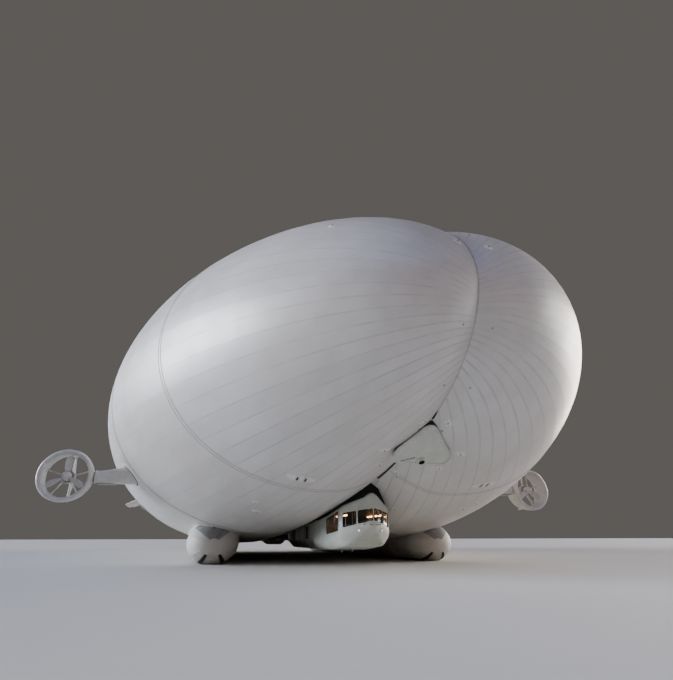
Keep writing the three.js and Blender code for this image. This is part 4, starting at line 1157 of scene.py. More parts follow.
# The four tail fins and their flaps, laid out on the port side. Each fin's span runs outwards from its lobe's
# axis: tip is its (x, z), start its span there, then y at the root and at the tip of each line.
FINS = {
    "upper": {
        "tip": (13.88, 25.86), "start": 4.9,
        "lead": (22.5, 30.2), "hinge": (34.6, 36.0), "trail": (38.6, 39.4),
    },
    "lower": {
        "tip": (21.65, 7.15), "start": 5.6,
        "lead": (21.8, 30.0), "hinge": (34.0, 35.6), "trail": (38.2, 39.2),
    },
}
FIN_AXIS = np.array([5.61, 0.0, 13.5])
FIN_ROOT_THICK, FIN_TIP_THICK, FIN_ROOT = 1.15, 0.55, -0.25
FLAP_FROM, FLAP_TO, FLAP_NOSE, FLAP_GAP, TRAIL_HALF, HEEL_GAP = 0.42, 0.97, 0.3, 0.07, 0.03, 0.15
FIN_RIBS, RIB_HALF, RIB_RISE, FABRIC_SAG = 12, 0.07, 0.012, 0.03
LUG_PLACES, LUG_WIDTH, LUG_NOTCH, LUG_EYE, LUG_PIN = (0.22, 0.78), 0.14, 0.36, 0.15, 0.06


def fin_frame(fin):
    """A fin's directions, and a function that gives points by part of the span, y and offset."""
    out = np.array([fin["tip"][0], 0, fin["tip"][1]]) - FIN_AXIS
    reach = np.linalg.norm(out)
    out = out / reach
    normal = np.array([-out[2], 0, out[0]])

    def at(part, y, offset):
        part, y, offset = np.broadcast_arrays(*(np.asarray(v, float) for v in (part, y, offset)))
        span = fin["start"] + (reach - fin["start"]) * part
        points = FIN_AXIS + out * span[..., None] + normal * offset[..., None]
        points[..., 1] = y
        return points

    return at, reach - fin["start"], normal


def between(pair, part):
    """A value part of the way from the first of a pair to the second."""
    return pair[0] + (pair[1] - pair[0]) * part


def fin_thick(part):
    return between((FIN_ROOT_THICK, FIN_TIP_THICK), part)


def pivot_y(fin, part):
    return between(fin["hinge"], part) + FLAP_GAP + fin_thick(part) * FLAP_NOSE


def rib_stations(low, high, span):
    """Parts of the span for a ribbed skin's rings, with how far each stands proud of the plain section."""
    stations = []
    for rib in np.arange(0, FIN_RIBS + 1) / FIN_RIBS:
        halfway = span / RIB_HALF / FIN_RIBS / 2
        for shift, rise in ((-1.5, 0.0), (-1, RIB_RISE), (1, RIB_RISE), (1.5, 0.0), (halfway, -FABRIC_SAG)):
            part = rib + shift * RIB_HALF / span
            if low < part < high:
                stations.append((part, rise))
    return [(low, 0.0)] + stations + [(high, 0.0)]


def fin_shape(share):
    """A fin's half thickness at a share of its chord, as a share of the greatest."""
    nose = np.maximum(0, 1 - ((0.4 - share) / 0.4) ** 2) ** 0.58
    return np.where(share < 0.4, nose, 1 - 0.32 * (np.maximum(0, share - 0.4) / 0.6) ** 1.5)


def fixed_fin(fin):
    """The fixed fin's skin, with a heel that runs on to the trailing edge inboard of the flap."""
    at, span, normal = fin_frame(fin)
    share = (1 - np.cos(np.linspace(0, math.pi, 25)[:23])) / 2
    share = share / share[-1]
    shape = fin_shape(share)
    steps = np.array([0.33, 0.67, 1.0])
    heel_end = FLAP_FROM - HEEL_GAP / span
    rings_at = [(FIN_ROOT, 0.0, True)]
    rings_at += [(part, rise, True) for part, rise in rib_stations(0.0, heel_end, span)]
    rings_at += [(part, rise, False) for part, rise in rib_stations(heel_end, 1.0, span)]
    rings = []
    for part, rise, heel in rings_at:
        lead, hinge, trail = (between(fin[line], part) for line in ("lead", "hinge", "trail"))
        thick = fin_thick(part)
        y = lead + (hinge - lead) * share
        half = thick / 2 * shape + rise * np.minimum(1, shape * 2) * (share > 0.02)
        edge = thick * 0.34
        if heel:
            y = np.append(y, hinge + (trail - hinge) * steps)
            half = np.append(half, edge + (TRAIL_HALF - edge) * steps + rise * (steps < 1))
        else:
            y = np.append(y, np.full(3, hinge))
            half = np.append(half, edge * (1 - steps * 0.9))
        rings.append(np.concatenate([at(part, y, half), at(part, y, -half)[:0:-1]]))
    last = rings[-1]
    middle = (last[0] + last[22]) / 2
    tip_out = at(1.0, 0, 0) - at(0.0, 0, 0)
    tip_out = tip_out / np.linalg.norm(tip_out)
    for reach, keep in ((0.05, 0.93), (0.1, 0.72), (0.13, 0.4), (0.14, 0.1)):
        flat = last - (last - middle) @ normal[:, None] * normal * (1 - keep)
        rings.append(flat + tip_out * reach)
    return lofted(rings)


def flap_lines(fin):
    """The hinge line's ends, its direction and its parts of the span where the lugs stand."""
    at, _, _ = fin_frame(fin)
    low, high = (at(p, pivot_y(fin, p), 0.0) for p in (FLAP_FROM, FLAP_TO))
    places = [FLAP_FROM + (FLAP_TO - FLAP_FROM) * place for place in LUG_PLACES]
    return low, high, (high - low) / np.linalg.norm(high - low), places


def flap(fin):
    """The flap's skin: round-nosed, notched round the hinge lugs, with rib tapes in line with the fin's."""
    at, span, _ = fin_frame(fin)
    low, high, _, places = flap_lines(fin)
    notch = LUG_NOTCH / 2 / np.linalg.norm(high - low) * (FLAP_TO - FLAP_FROM)
    edges = [FLAP_FROM] + [p + shift for p in places for shift in (-notch, notch)] + [FLAP_TO]
    rings_at = []
    for i, (start, end) in enumerate(zip(edges, edges[1:])):
        cut = i % 2
        inside = [(start, 0.0), (end, 0.0)] if cut else rib_stations(start, end, span)
        rings_at += [(part, rise, cut) for part, rise in inside]
    rings = []
    arc = np.radians(np.linspace(90, 180, 9))
    steps = np.array([0.2, 0.4, 0.6, 0.8, 1.0])
    for part, rise, cut in rings_at:
        radius = fin_thick(part) * FLAP_NOSE
        pivot, trail = pivot_y(fin, part), between(fin["trail"], part)
        y = np.concatenate([(pivot + (trail - pivot) * steps)[::-1], pivot + radius * np.cos(arc)])
        taper = radius + (TRAIL_HALF - radius) * steps + rise * (steps < 1)
        half = np.concatenate([taper[::-1], radius * np.sin(arc) + rise * np.sin(arc)])
        if cut:
            y = np.maximum(y, pivot + LUG_EYE + FLAP_GAP)
        rings.append(np.concatenate([at(part, y, half), at(part, y, -half)[-2::-1]]))
    return lofted(rings)


def hinge_lugs(fin):
    """The fixed lugs, and the pins through them."""
    _, _, normal = fin_frame(fin)
    low, high, line, places = flap_lines(fin)
    back = np.cross(normal, line)
    back *= math.copysign(1, back[1])
    back /= np.linalg.norm(back)
    lugs, pins = [], []
    for place, part in zip(LUG_PLACES, places):
        centre = low + (high - low) * place
        foot = -(fin_thick(part) * FLAP_NOSE + FLAP_GAP + 0.12)
        outline = [(foot, -0.2), (foot, 0.2)]
        outline += [(LUG_EYE * math.cos(a), LUG_EYE * math.sin(a)) for a in np.linspace(1.9, -1.9, 15)]
        faces = [centre + line * w for w in (-LUG_WIDTH / 2, LUG_WIDTH / 2)]
        lugs.append(lofted([[face + back * b + normal * n for b, n in outline] for face in faces]))
        reach = line * (LUG_NOTCH / 2 + 0.02)
        pins.append(rod(centre - reach, centre + reach, LUG_PIN))
        for w in (-1, 1):
            pins.append(rod(centre + line * w * 0.085, centre + line * w * 0.13, 0.095, 16))
    return together(lugs), together(pins)


def fin_root(fin):
    """Where a fin's faces meet the hull, all round it."""
    at, _, _ = fin_frame(fin)
    shares = np.concatenate([np.linspace(0, 1, 28), np.linspace(1, 0, 28)[1:-1]])
    faces = np.concatenate([np.ones(28), -np.ones(26)])
    parts = np.linspace(0.75, FIN_ROOT, 900)
    lead, trail = between(fin["lead"], parts), between(fin["trail"], parts)
    lines = []
    for share, face, shape in zip(shares, faces, fin_shape(shares)):
        closing = 1 if share < 0.75 else (1 - share) * 4
        lines.append(at(parts, lead + (trail - lead) * share, face * shape * fin_thick(parts) / 2 * closing))
    return meeting(lines)


def fins():
    """The fins, flaps and hinges, with the laced band and stay wires where each fin meets the hull."""
    for name, fin in FINS.items():
        at, _, _ = fin_frame(fin)
        root = fin_root(fin)
        band = ribbon(root, 0.75, 0.02, loop=True)
        cord = tube([on_hull(p)[0] for p in root], 0.06, 8, loop=True)
        stays, feet = [], []
        for part, along in ((0.5, 0.3), (0.5, 0.75)):
            y = between((between(fin["lead"], part), between(fin["hinge"], part)), along)
            for face_side in (-1, 1):
                top = at(part, y, face_side * fin_thick(part) * 0.45)
                foot_at = at(-0.1, y - 1.0, face_side * 5.5)
                foot, out = on_hull(foot_at)
                stays.append(tube([Vector(top), foot + out * 0.08], 0.022, 8))
                feet.append(laid(foot, (0, 1, 0), fingers(0.45, 6), ((1, -SUNK), (0.98, 0.016), (0.4, 0.03))))
                feet.append(hoop(foot + out * 0.08, (0, 1, 0), 0.07, 0.018, 16))
        lugs, pins = hinge_lugs(fin)
        node = name + "_{side}_fin"
        moving = node + "_flap"
        on_each_side(node + "_skin", fixed_fin(fin), FIN_FABRIC, slot="fin_skin", stands_for=[node])
        on_each_side(node + "_root_band", band, TAPE, slot="hull_fabric")
        on_each_side(node + "_root_cord", cord, WEBBING, slot="hull_fabric")
        on_each_side(node + "_stays", together(stays), FITTINGS, slot="dark_frame")
        on_each_side(node + "_stay_feet", together(feet), PATCH, slot="hull_fabric")
        on_each_side(node + "_lugs", lugs, DUCT_PAINT, slot="duct_skin")
        on_each_side(moving + "_skin", flap(fin), FIN_FABRIC, moving, "fin_skin", [moving])
        on_each_side(moving + "_pins", pins, FITTINGS, moving, "dark_frame")


fins()


# Helpers for the pieces under the hull
def hull_above(x, y):
    """The height of the hull's underside over a point of the ground."""
    return HULL_TREE.ray_cast(Vector((max(abs(x), 0.01), y, -5)), Vector((0, 0, 1)))[0].z


def soft_corners(outline, radius, steps=4):
    """A closed outline with its corners drawn round and a point halfway along each edge."""
    outline = np.asarray(outline, float)
    points = []
    for i, corner in enumerate(outline):
        before, after = outline[i - 1], outline[(i + 1) % len(outline)]
        start = corner + (before - corner) * min(0.45, radius / np.linalg.norm(before - corner))
        end = corner + (after - corner) * min(0.45, radius / np.linalg.norm(after - corner))
        for t in np.linspace(0, 1, steps + 1):
            points.append(start * (1 - t) ** 2 + corner * 2 * t * (1 - t) + end * t**2)
        points.append((corner + after) / 2)
    return np.array(points)


def carved(solid, cutters):
    """A solid shape with the cutters taken out of it."""
    made = []
    for shape in [solid] + list(cutters):
        mesh = bpy.data.meshes.new("carving")
        work = welded(shape, WELD_SHIP)
        work.to_mesh(mesh)
        work.free()
        made.append(bpy.data.objects.new("carving", mesh))
        bpy.context.scene.collection.objects.link(made[-1])
    for cutter in made[1:]:
        cut = made[0].modifiers.new("cut", "BOOLEAN")
        cut.operation = "DIFFERENCE"
        cut.solver = "EXACT"
        cut.object = cutter
    done = bpy.data.meshes.new_from_object(made[0].evaluated_get(bpy.context.evaluated_depsgraph_get()))
    points = [tuple(v.co) for v in done.vertices]
    faces = [tuple(p.vertices) for p in done.polygons]
    for obj in made:
        bpy.data.objects.remove(obj)
    return np.array(points), faces


def eased(shape, width, segments):
    """A solid shape with its edges rounded."""
    work = welded(shape, WELD_SHIP)
    bmesh.ops.dissolve_limit(work, angle_limit=math.radians(2), verts=work.verts, edges=work.edges)
    round_edges(work, width, segments)
    points = np.array([tuple(v.co) for v in work.verts])
    work.verts.index_update()
    faces = [tuple(v.index for v in f.verts) for f in work.faces]
    work.free()
    return points, faces


# The mooring panel that bridges the crease under the nose, and the socket in its lip.
PANEL_LINE = np.array([(-40.7, 6.62), (-40.2, 6.13), (-39.5, 5.45), (-39.05, 5.18)])
PANEL_THICK, PANEL_FOLD, PANEL_APEX_HALF, PANEL_HALF, PANEL_LIP_HALF = 0.16, -39.5, 0.22, 1.6, 1.25
SOCKET_Y, SOCKET_REACH, SOCKET_OUTER, SOCKET_BORE = -39.28, 0.16, 0.23, 0.15
BOLT_SPACING = 0.17
# Each open fold of the crease, drawn as a dark tube of painted shade: y at its two ends, and its half width
# there.
SHADED_FOLDS = ((-42.1, -40.55, 0.008, 0.1), (-39.2, -33.2, 0.03, 0.17))
UNDERSIDE_BELOW = 9.0


def panel_at(y):
    """The height of the panel's upper face at y and its half width, with the fold and corners eased."""
    start, end = PANEL_LINE[0, 0], PANEL_LINE[-1, 0]
    heights, halves = [], []
    for shift in (-0.2, -0.1, 0.0, 0.1, 0.2):
        near = np.clip(y + shift * 0.15, start, end)
        heights.append(np.interp(near, PANEL_LINE[:, 0], PANEL_LINE[:, 1]))
        at = np.clip(y + shift, start, end)
        wide = PANEL_APEX_HALF + (PANEL_HALF - PANEL_APEX_HALF) * min(1, (at - start) / (PANEL_FOLD - start))
        lip = max(0, (at - PANEL_FOLD) / (end - PANEL_FOLD))
        halves.append(wide - (PANEL_HALF - PANEL_LIP_HALF) * lip**1.6)
    nose = min(1, math.sqrt(max(0.02, (y - start + 0.01) / 0.16)))
    return float(np.mean(heights)), float(np.mean(halves)) * nose


def mooring_panel():
    """The smooth three-cornered panel, with a black wall of painted shade in the gap to the hull, its lip and
    its bolts.
    """
    start, end = PANEL_LINE[0, 0], PANEL_LINE[-1, 0]
    stations = start + (end - start) * (1 - np.cos(np.linspace(0, math.pi, 56))) / 2
    rings = []
    for y in stations:
        height, half = panel_at(y)
        thick = PANEL_THICK * math.sqrt(min(1, max(0.06, min(y - start, end - y) / 0.05)))
        middle = height - PANEL_THICK / 2
        rings.append([(x, y, middle + z) for x, z in rounded(2 * half, thick, min(half, thick) * 0.42)])
    nodes = ["nose_mooring_panel"]
    piece("mooring_panel_skin", lofted(rings), PANEL_PAINT, slot="composite", stands_for=nodes, sharp=40)

    # Painted shade: a black wall from the panel's edge up into the hull stands for the shadow in the gap
    # between them.
    edge = [(panel_at(y)[1] - 0.07, y, panel_at(y)[0]) for y in stations[3:-2]]
    loop = edge + [(-x, y, z) for x, y, z in edge[::-1]]
    wall = []
    for x, y, z in loop:
        top = hull_above(x, y) + 0.05
        inner = x - math.copysign(0.05, x)
        wall.append([(x, y, z - 0.06), (x, y, top), (inner, y, top), (inner, y, z - 0.06)])
    piece("mooring_panel_gap_shade", lofted(wall, closed=False), RUBBER_AND_SHADE, slot="dark_frame")

    lip = [
        (panel_at(y)[1] - 0.035, y, panel_at(y)[0] - PANEL_THICK)
        for y in np.linspace(PANEL_FOLD, end - 0.05, 12)
    ]
    bead = [(-x, y, z) for x, y, z in lip] + [(x, y, z) for x, y, z in lip[::-1]]
    piece("mooring_panel_lip", tube(bead, 0.04, 10), PALE_PAINT, slot="composite")

    bolts, walked = [], BOLT_SPACING
    inset = [(panel_at(y)[1] - 0.1, y) for y in np.linspace(start + 0.12, end - 0.06, 240)]
    last = inset[0]
    for x, y in inset:
        walked += math.hypot(x - last[0], y - last[1])
        last = (x, y)
        if walked < BOLT_SPACING:
            continue
        walked = 0.0
        slope = (panel_at(y + 0.05)[0] - panel_at(y - 0.05)[0]) / 0.1
        out = Vector((0, slope, -1)).normalized()
        face = Vector((x, y, panel_at(y)[0] - PANEL_THICK))
        bolts.append(on_both_sides(rod(face - out * 0.01, face + out * 0.012, 0.016, 10)))
    piece("mooring_panel_bolts", together(bolts), FITTINGS, slot="dark_frame")


def mooring_socket():
    """The socket's collar, the black cup of painted shade in its bore and the bolts in the panel's lip, and
    the catch rod beside it.
    """
    fold, tip = (Vector((0, *point)) for point in PANEL_LINE[-2:])
    along = (tip - fold).normalized()
    down = Vector((0, along.z, -along.y))
    seat = Vector((0, SOCKET_Y, float(np.interp(SOCKET_Y, PANEL_LINE[:, 0], PANEL_LINE[:, 1])) - PANEL_THICK))
    facing = down.to_track_quat("Y", "Z").to_matrix()
    collar = [
        (SOCKET_BORE, 0.0), (SOCKET_BORE, 0.15), (0.165, SOCKET_REACH), (0.195, SOCKET_REACH),
        (0.21, 0.14), (0.215, 0.05), (SOCKET_OUTER + 0.02, 0.03), (SOCKET_OUTER + 0.03, 0.0),
    ]
    collar, nodes = moved(turned(collar, 56), seat, turn=facing), ["mooring_socket"]
    piece("mooring_socket_collar", collar, PANEL_PAINT, slot="dark_frame", stands_for=nodes)
    # Painted shade: a black cup inside the bore makes the hole look dark.
    bore_shade = [(0.148, 0.0), (0.148, 0.15), (0.138, 0.15), (0.13, 0.07), (0.05, 0.05)]
    piece("mooring_socket_bore_shade", moved(spun(bore_shade, 48), seat, turn=facing), RUBBER_AND_SHADE, slot="dark_frame")
    ring_bolts = round_the_hub(rod((0.0, 0.02, 0.238), (0.0, 0.04, 0.238), 0.01, 8), 10)
    foot = Vector((-1.0, -39.2, panel_at(-39.2)[0] - PANEL_THICK - 0.03))
    head = Vector((-0.42, -39.42, panel_at(-39.42)[0] - PANEL_THICK - 0.03))
    catch = [moved(ring_bolts, seat, turn=facing), rod(foot, head, 0.018, 12)]
    for spot in (foot, head):
        catch.append(rod(spot - Vector((0, 0, 0.012)), spot + Vector((0, 0, 0.06)), 0.035, 14))
    piece("mooring_socket_fittings", together(catch), FITTINGS, slot="dark_frame")


def crease_fold_shades():
    """Dark tubes of painted shade where the crease stands open ahead of the panel and behind it."""
    folds = []
    for fore, aft, fore_size, aft_size in SHADED_FOLDS:
        path = [p for p in crease_path() if fore < p.y < aft and p.z < UNDERSIDE_BELOW]
        path.sort(key=lambda p: p.y)
        rings = []
        for i, p in enumerate(path):
            size = fore_size + (aft_size - fore_size) * i / (len(path) - 1)
            rings.append([
                (size * math.cos(a), p.y, p.z - 0.01 + size * 0.55 * math.sin(a)) for a in around(10)
            ])
        folds.append(lofted(rings))
    piece("crease_fold_shade_tubes", together(folds), RUBBER_AND_SHADE, slot="dark_frame")


mooring_panel()
mooring_socket()
crease_fold_shades()


# The flight deck's sections: y, half widths at the waist and the floor, then the heights of the floor,
# the waist, the eaves and the ridge.
DECK_STATIONS = np.array([
    (-32.6, 0.3, 0.2, 2.3, 2.62, 4.08, 4.25),
    (-31.0, 1.66, 1.2, 1.22, 1.8, 3.42, 4.36),
    (-27.9, 1.66, 1.32, 0.98, 1.32, 3.0, 4.1),
    (-24.55, 1.66, 1.32, 0.95, 1.28, 2.72, 3.84),
])
WAIST, SOLE, FLOOR, BEND, EAVES, RIDGE = range(1, 7)
DECK_SIDE = 1.66
DECK_WALL, DECK_ROUNDING = 0.12, 0.2
WINDSCREEN = ((0.06, 2.66), (0.78, 2.5), (0.78, 3.2), (0.06, 3.3))
QUARTER_WINDOW = ((0.88, 2.48), (1.48, 2.3), (1.48, 3.08), (0.88, 3.18))
SIDE_WINDOW = ((-30.7, 2.12), (-28.1, 1.95), (-28.1, 2.85), (-30.7, 3.2))
DOORWAY = ((-27.75, 1.37), (-26.85, 1.37), (-26.85, 2.66), (-27.75, 2.66))
DOOR_PANE = ((-27.55, 1.85), (-27.05, 1.85), (-27.05, 2.48), (-27.55, 2.48))
DOOR_HINGE_Y = -27.69
WINDOWS = (
    (WINDSCREEN, "y", (-33, -31.2)), (QUARTER_WINDOW, "y", (-33, -30.8)), (SIDE_WINDOW, "x", (1.2, 2.2)),
)
WINDOW_CORNER, DOOR_CORNER = 0.07, 0.05
LAMP_X, LAMP_Z, LAMP_LENGTH = 1.1, 3.0, 1.0


def deck_value(y, column):
    """A column of the deck's sections at y."""
    return float(np.interp(y, DECK_STATIONS[:, 0], DECK_STATIONS[:, column]))


def deck_ring(y, inset=0.0):
    """The flight deck's section at y, drawn in by a wall's thickness."""
    waist, sole, floor, bend, eaves, ridge = (
        deck_value(y, column) for column in (WAIST, SOLE, FLOOR, BEND, EAVES, RIDGE)
    )
    half, low = waist - inset, sole - inset * 0.6
    bend, eaves = bend + inset * 0.4, eaves - inset * 0.6
    return [(-low, y, floor + inset), (low, y, floor + inset), (half, y, bend), (half, y, eaves),
            (0, y, ridge - inset), (-half, y, eaves), (-half, y, bend)]


def deck_solid(inset=0.0):
    """The deck's outline as a solid, drawn in all round."""
    rings = []
    for i, y in enumerate(DECK_STATIONS[:, 0]):
        shift = inset if i == 0 else -inset if i == 3 else 0.0
        rings.append([(x, y + shift, z) for x, _, z in deck_ring(y, inset)])
    return lofted(rings)


def opening(outline, axis, reach, side=1):
    """A prism through the deck's wall; the outline holds (x, z) or (y, z) points."""
    def at(depth):
        if axis == "x":
            return [(side * depth, a, b) for a, b in outline]
        return [(side * a, depth, b) for a, b in outline]
    return lofted([at(reach[0]), at(reach[1])])


DECK_OUTER = eased(deck_solid(), DECK_ROUNDING, 5)
DECK_TREE = BVHTree.FromPolygons(np.asarray(DECK_OUTER[0]).tolist(), DECK_OUTER[1])


def on_deck(a, b, axis, side=1, rise=0.0):
    """A point of the deck's outer skin, raised by rise, with its outward direction.

    Seen along x, a and b are y and z; seen along y, they are x and z.
    """
    start, towards = ((3 * side, a, b), (-side, 0, 0)) if axis == "x" else ((side * a, -35, b), (0, 1, 0))
    spot, normal, _, _ = DECK_TREE.ray_cast(Vector(start), Vector(towards))
    normal = normal if normal.dot(Vector(towards)) < 0 else -normal
    return spot + normal * rise, normal


def deck_shell():
    """The shell with its rounded brow, window openings and doorway, and the gaskets and screws round them."""
    cuts = [deck_solid(DECK_WALL), opening(DOORWAY, "x", (0.9, 2.2))]
    for outline, axis, reach in WINDOWS:
        cuts += [opening(soft_corners(outline, WINDOW_CORNER), axis, reach, side) for side in (-1, 1)]
    skin, nodes = carved(DECK_OUTER, cuts), ["flight_deck_shell"]
    piece("flight_deck_skin", skin, PANEL_PAINT, slot="composite", stands_for=nodes, sharp=28)

    gaskets, screws = [], []
    for side in (-1, 1):
        for outline, axis, _ in WINDOWS:
            path = [on_deck(a, b, axis, side, -0.004)[0] for a, b in soft_corners(outline, WINDOW_CORNER)]
            gaskets.append(tube(path, 0.03, 8, loop=True))
            middle = np.mean(outline, axis=0)
            for a, b in soft_corners(outline, WINDOW_CORNER, 2):
                far = np.array((a, b)) - middle
                far *= 1 + 0.075 / np.linalg.norm(far)
                spot, normal = on_deck(*(middle + far), axis, side)
                screws.append(rod(spot - normal * 0.01, spot + normal * 0.008, 0.012, 8))
    doorway = [on_deck(a, b, "x")[0] for a, b in soft_corners(DOORWAY, DOOR_CORNER)]
    gaskets.append(tube(doorway, 0.022, 8, loop=True))
    piece("flight_deck_gaskets", together(gaskets), RUBBER_AND_SHADE, slot="dark_frame")
    piece("flight_deck_screws", together(screws), FITTINGS, slot="dark_frame")


def deck_seams():
    """Panel seams round the deck, open at the side windows, and along its roof."""
    seams = []
    for y in (-31.35, -29.9, -28.35, -26.6, -25.6):
        ring = deck_ring(y)
        loop = soft_corners([(x, z) for x, _, z in ring], 0.24)
        middle = loop.mean(0)
        path = []
        for x, z in loop:
            towards = Vector((x - middle[0], 0, z - middle[1])).normalized()
            spot = DECK_TREE.ray_cast(Vector((middle[0], y, middle[1])), towards)[0]
            if not (SIDE_WINDOW[0][0] < y < SIDE_WINDOW[1][0] and 1.9 < spot.z < 3.25):
                path.append(spot)
        if len(path) == len(loop):
            seams.append(tube(path, 0.012, 6, loop=True))
        else:
            seams.append(tube([p for p in path if p.z > 2.9], 0.012, 6))
    for side in (-1, 1):
        for z_line in (0.35, 0.75):
            path = []
            for y in np.linspace(-31.9, -24.7, 26):
                ring = deck_ring(y)
                eaves, ridge = Vector(ring[3]), Vector(ring[4])
                spot = eaves.lerp(ridge, z_line)
                path.append(Vector((side * spot.x, spot.y, spot.z + 0.004)))
            seams.append(tube(path, 0.012, 6))
    piece("flight_deck_roof_seams", together(seams), PALE_PAINT, slot="composite")


def deck_fittings():
    """Wipers, nose probes and landing lamps, then the rails over the side windows and beside the door."""
    wipers, lamps, lenses = [], [], []
    for side in (-1, 1):
        foot, out = on_deck(0.5, 2.44, "y", side, 0.03)
        tip, _ = on_deck(0.34, 3.0, "y", side, 0.035)
        wipers += [rod(foot - out * 0.04, foot + out * 0.03, 0.03, 14), rod(foot, tip, 0.01, 8)]
        low, _ = on_deck(0.24, 2.72, "y", side, 0.02)
        high, _ = on_deck(0.42, 3.2, "y", side, 0.02)
        wipers.append(rod(low, high, 0.013, 8))
        spot, out = on_deck(0.72, 2.12, "y", side)
        lamps.append(rod(spot - out * 0.03, spot + out * 0.03, 0.12, 32))
        lenses.append(rod(spot + out * 0.028, spot + out * 0.04, 0.095, 32, 0.07))
        probe = [(side * 0.2, y, z) for y, z in ((-32.5, 2.45), (-32.66, 2.4), (-33.0, 2.4))]
        wipers.append(tube(probe, 0.018, 8))
    piece("flight_deck_wipers", together(wipers), FRAME_METAL, slot="dark_frame")
    piece("landing_lamp_rims", together(lamps), FITTINGS, slot="dark_frame")
    piece("landing_lamp_lenses", together(lenses), LENS, slot="window_glass")

    rails = []
    for side in (-1, 1):
        run = ((-30.9, 3.34), (-30.2, 3.25), (-29.0, 3.09), (-28.0, 2.96))
        rails.append(tube([on_deck(y, z, "x", side, 0.07)[0] for y, z in run], 0.014, 8))
        for y, z in ((-30.9, 3.34), (-29.6, 3.17), (-28.0, 2.96)):
            spot, out = on_deck(y, z, "x", side)
            rails.append(rod(spot, spot + out * 0.075, 0.014, 8))
    for y in (-27.87, -26.72):
        run = ((1.75, 0.0), (1.78, 0.07), (2.3, 0.07), (2.33, 0.0))
        rails.append(tube([on_deck(y, z, "x", 1, rise)[0] for z, rise in run], 0.016, 8))
    piece("flight_deck_handrails", together(rails), FITTINGS, slot="dark_frame")


def cabin():
    """The cabin's frames, floor and warm lamps, and the aerials under its floor."""
    frames = []
    for y in (-31.6, -30.95, -29.5, -28.0, -26.3, -24.9):
        ring = [(x, y, z) for x, _, z in deck_ring(y, DECK_WALL + 0.035)]
        frames.append(tube(ring, 0.035, 8, loop=True))
    piece("cabin_frames", together(frames), LINING, slot="composite")
    piece("cabin_floor", lofted([
        [(-w, y, f - 0.02), (w, y, f - 0.02), (w, y, f), (-w, y, f)]
        for y, w, f in ((-31.2, 1.0, 1.37), (-30.9, 1.12, 1.31), (-27.9, 1.2, 1.17), (-24.75, 1.2, 1.15))
    ]), FRAME_METAL, slot="dark_frame")
    tubes, holders = [], []
    for side in (-1, 1):
        x = side * LAMP_X
        for y in (-31.0, -29.7, -28.4, -27.1):
            tubes.append(rod((x, y, LAMP_Z), (x, y + LAMP_LENGTH, LAMP_Z), 0.035, 12))
            for end in (-0.03, LAMP_LENGTH):
                middle = y + end + 0.015
                holders.append(rod((x, y + end, LAMP_Z), (x, y + end + 0.03, LAMP_Z), 0.05, 12))
                holders.append(rod((x, middle, LAMP_Z), (x, middle, LAMP_Z + 0.32), 0.012, 8))
    piece("cabin_lamp_strips", together(tubes), WARM_LAMP, slot="composite")
    piece("cabin_lamp_bars", together(holders), FRAME_METAL, slot="dark_frame")

    belly = []
    for y, height in ((-28.6, 0.16), (-26.2, 0.22)):
        floor = deck_value(y, FLOOR)
        rings = []
        steps = ((-0.02, 1.15, 0), (0.02, 1, 0.01), (height * 0.9, 0.62, 0.1), (height, 0.45, 0.12))
        for depth, size, lean in steps:
            section = aerofoil(0.3 * size, 0.05 * size)
            rings.append([(across, y + along + lean, floor - depth) for along, across in section])
        belly.append(lofted(rings))
    piece("belly_aerials", together(belly), PALE_PAINT, slot="composite")


def crew_door():
    """The door's leaf with its pane's gasket, handle and hinges."""
    softened("crew_door_leaf", "crew_door", PANEL_PAINT, "crew_door", "composite", 0.018)
    x, hinge_y = DECK_SIDE, DOOR_HINGE_Y
    pane = [(x + 0.002, y, z) for y, z in soft_corners(DOOR_PANE, 0.06)]
    piece("crew_door_gasket", tube(pane, 0.026, 8, loop=True), RUBBER_AND_SHADE, "crew_door", "dark_frame")
    handle = [
        side_plate(rounded(0.2, 0.1, 0.03), (x, -27.0, 1.7), 0.012),
        rod((x, -27.06, 1.7), (x + 0.045, -27.06, 1.7), 0.018, 12),
        tube([(x + 0.04, -27.06, 1.7), (x + 0.046, -27.0, 1.7), (x + 0.04, -26.94, 1.7)], 0.013, 8),
    ]
    own, fixed = [], []
    for z in (1.6, 2.42):
        for i, knuckles in enumerate((fixed, own, fixed)):
            low = z - 0.06 + i * 0.041
            knuckles.append(rod((x, hinge_y, low), (x, hinge_y, low + 0.038), 0.03, 14))
        own.append(side_plate(rounded(0.14, 0.1, 0.02), (x, hinge_y + 0.11, z), 0.01))
        fixed.append(side_plate(rounded(0.12, 0.1, 0.02), (x, hinge_y - 0.15, z), 0.01))
    piece("crew_door_fittings", together(handle + own), FITTINGS, "crew_door", "dark_frame")
    piece("crew_door_fixed_knuckles", together(fixed), FITTINGS, slot="dark_frame")
    piece("crew_door_sill", together([
        side_plate(rounded(0.86, 0.1, 0.02), (x - 0.01, -27.3, 1.28), 0.03),
        block((x, -27.62, 1.24), (x + 0.12, -26.98, 1.26)),
    ]), FITTINGS, slot="dark_frame")


SEAT_X, SEAT_Y, SEAT_TOP = 0.62, -29.7, 1.725
SEAT_WIDTH, SEAT_DEPTH, SEAT_BACK, CUSHION = 0.52, 0.5, 0.75, 0.12
SEAT_FLOOR, SEAT_UNDER = 1.275, SEAT_TOP - CUSHION


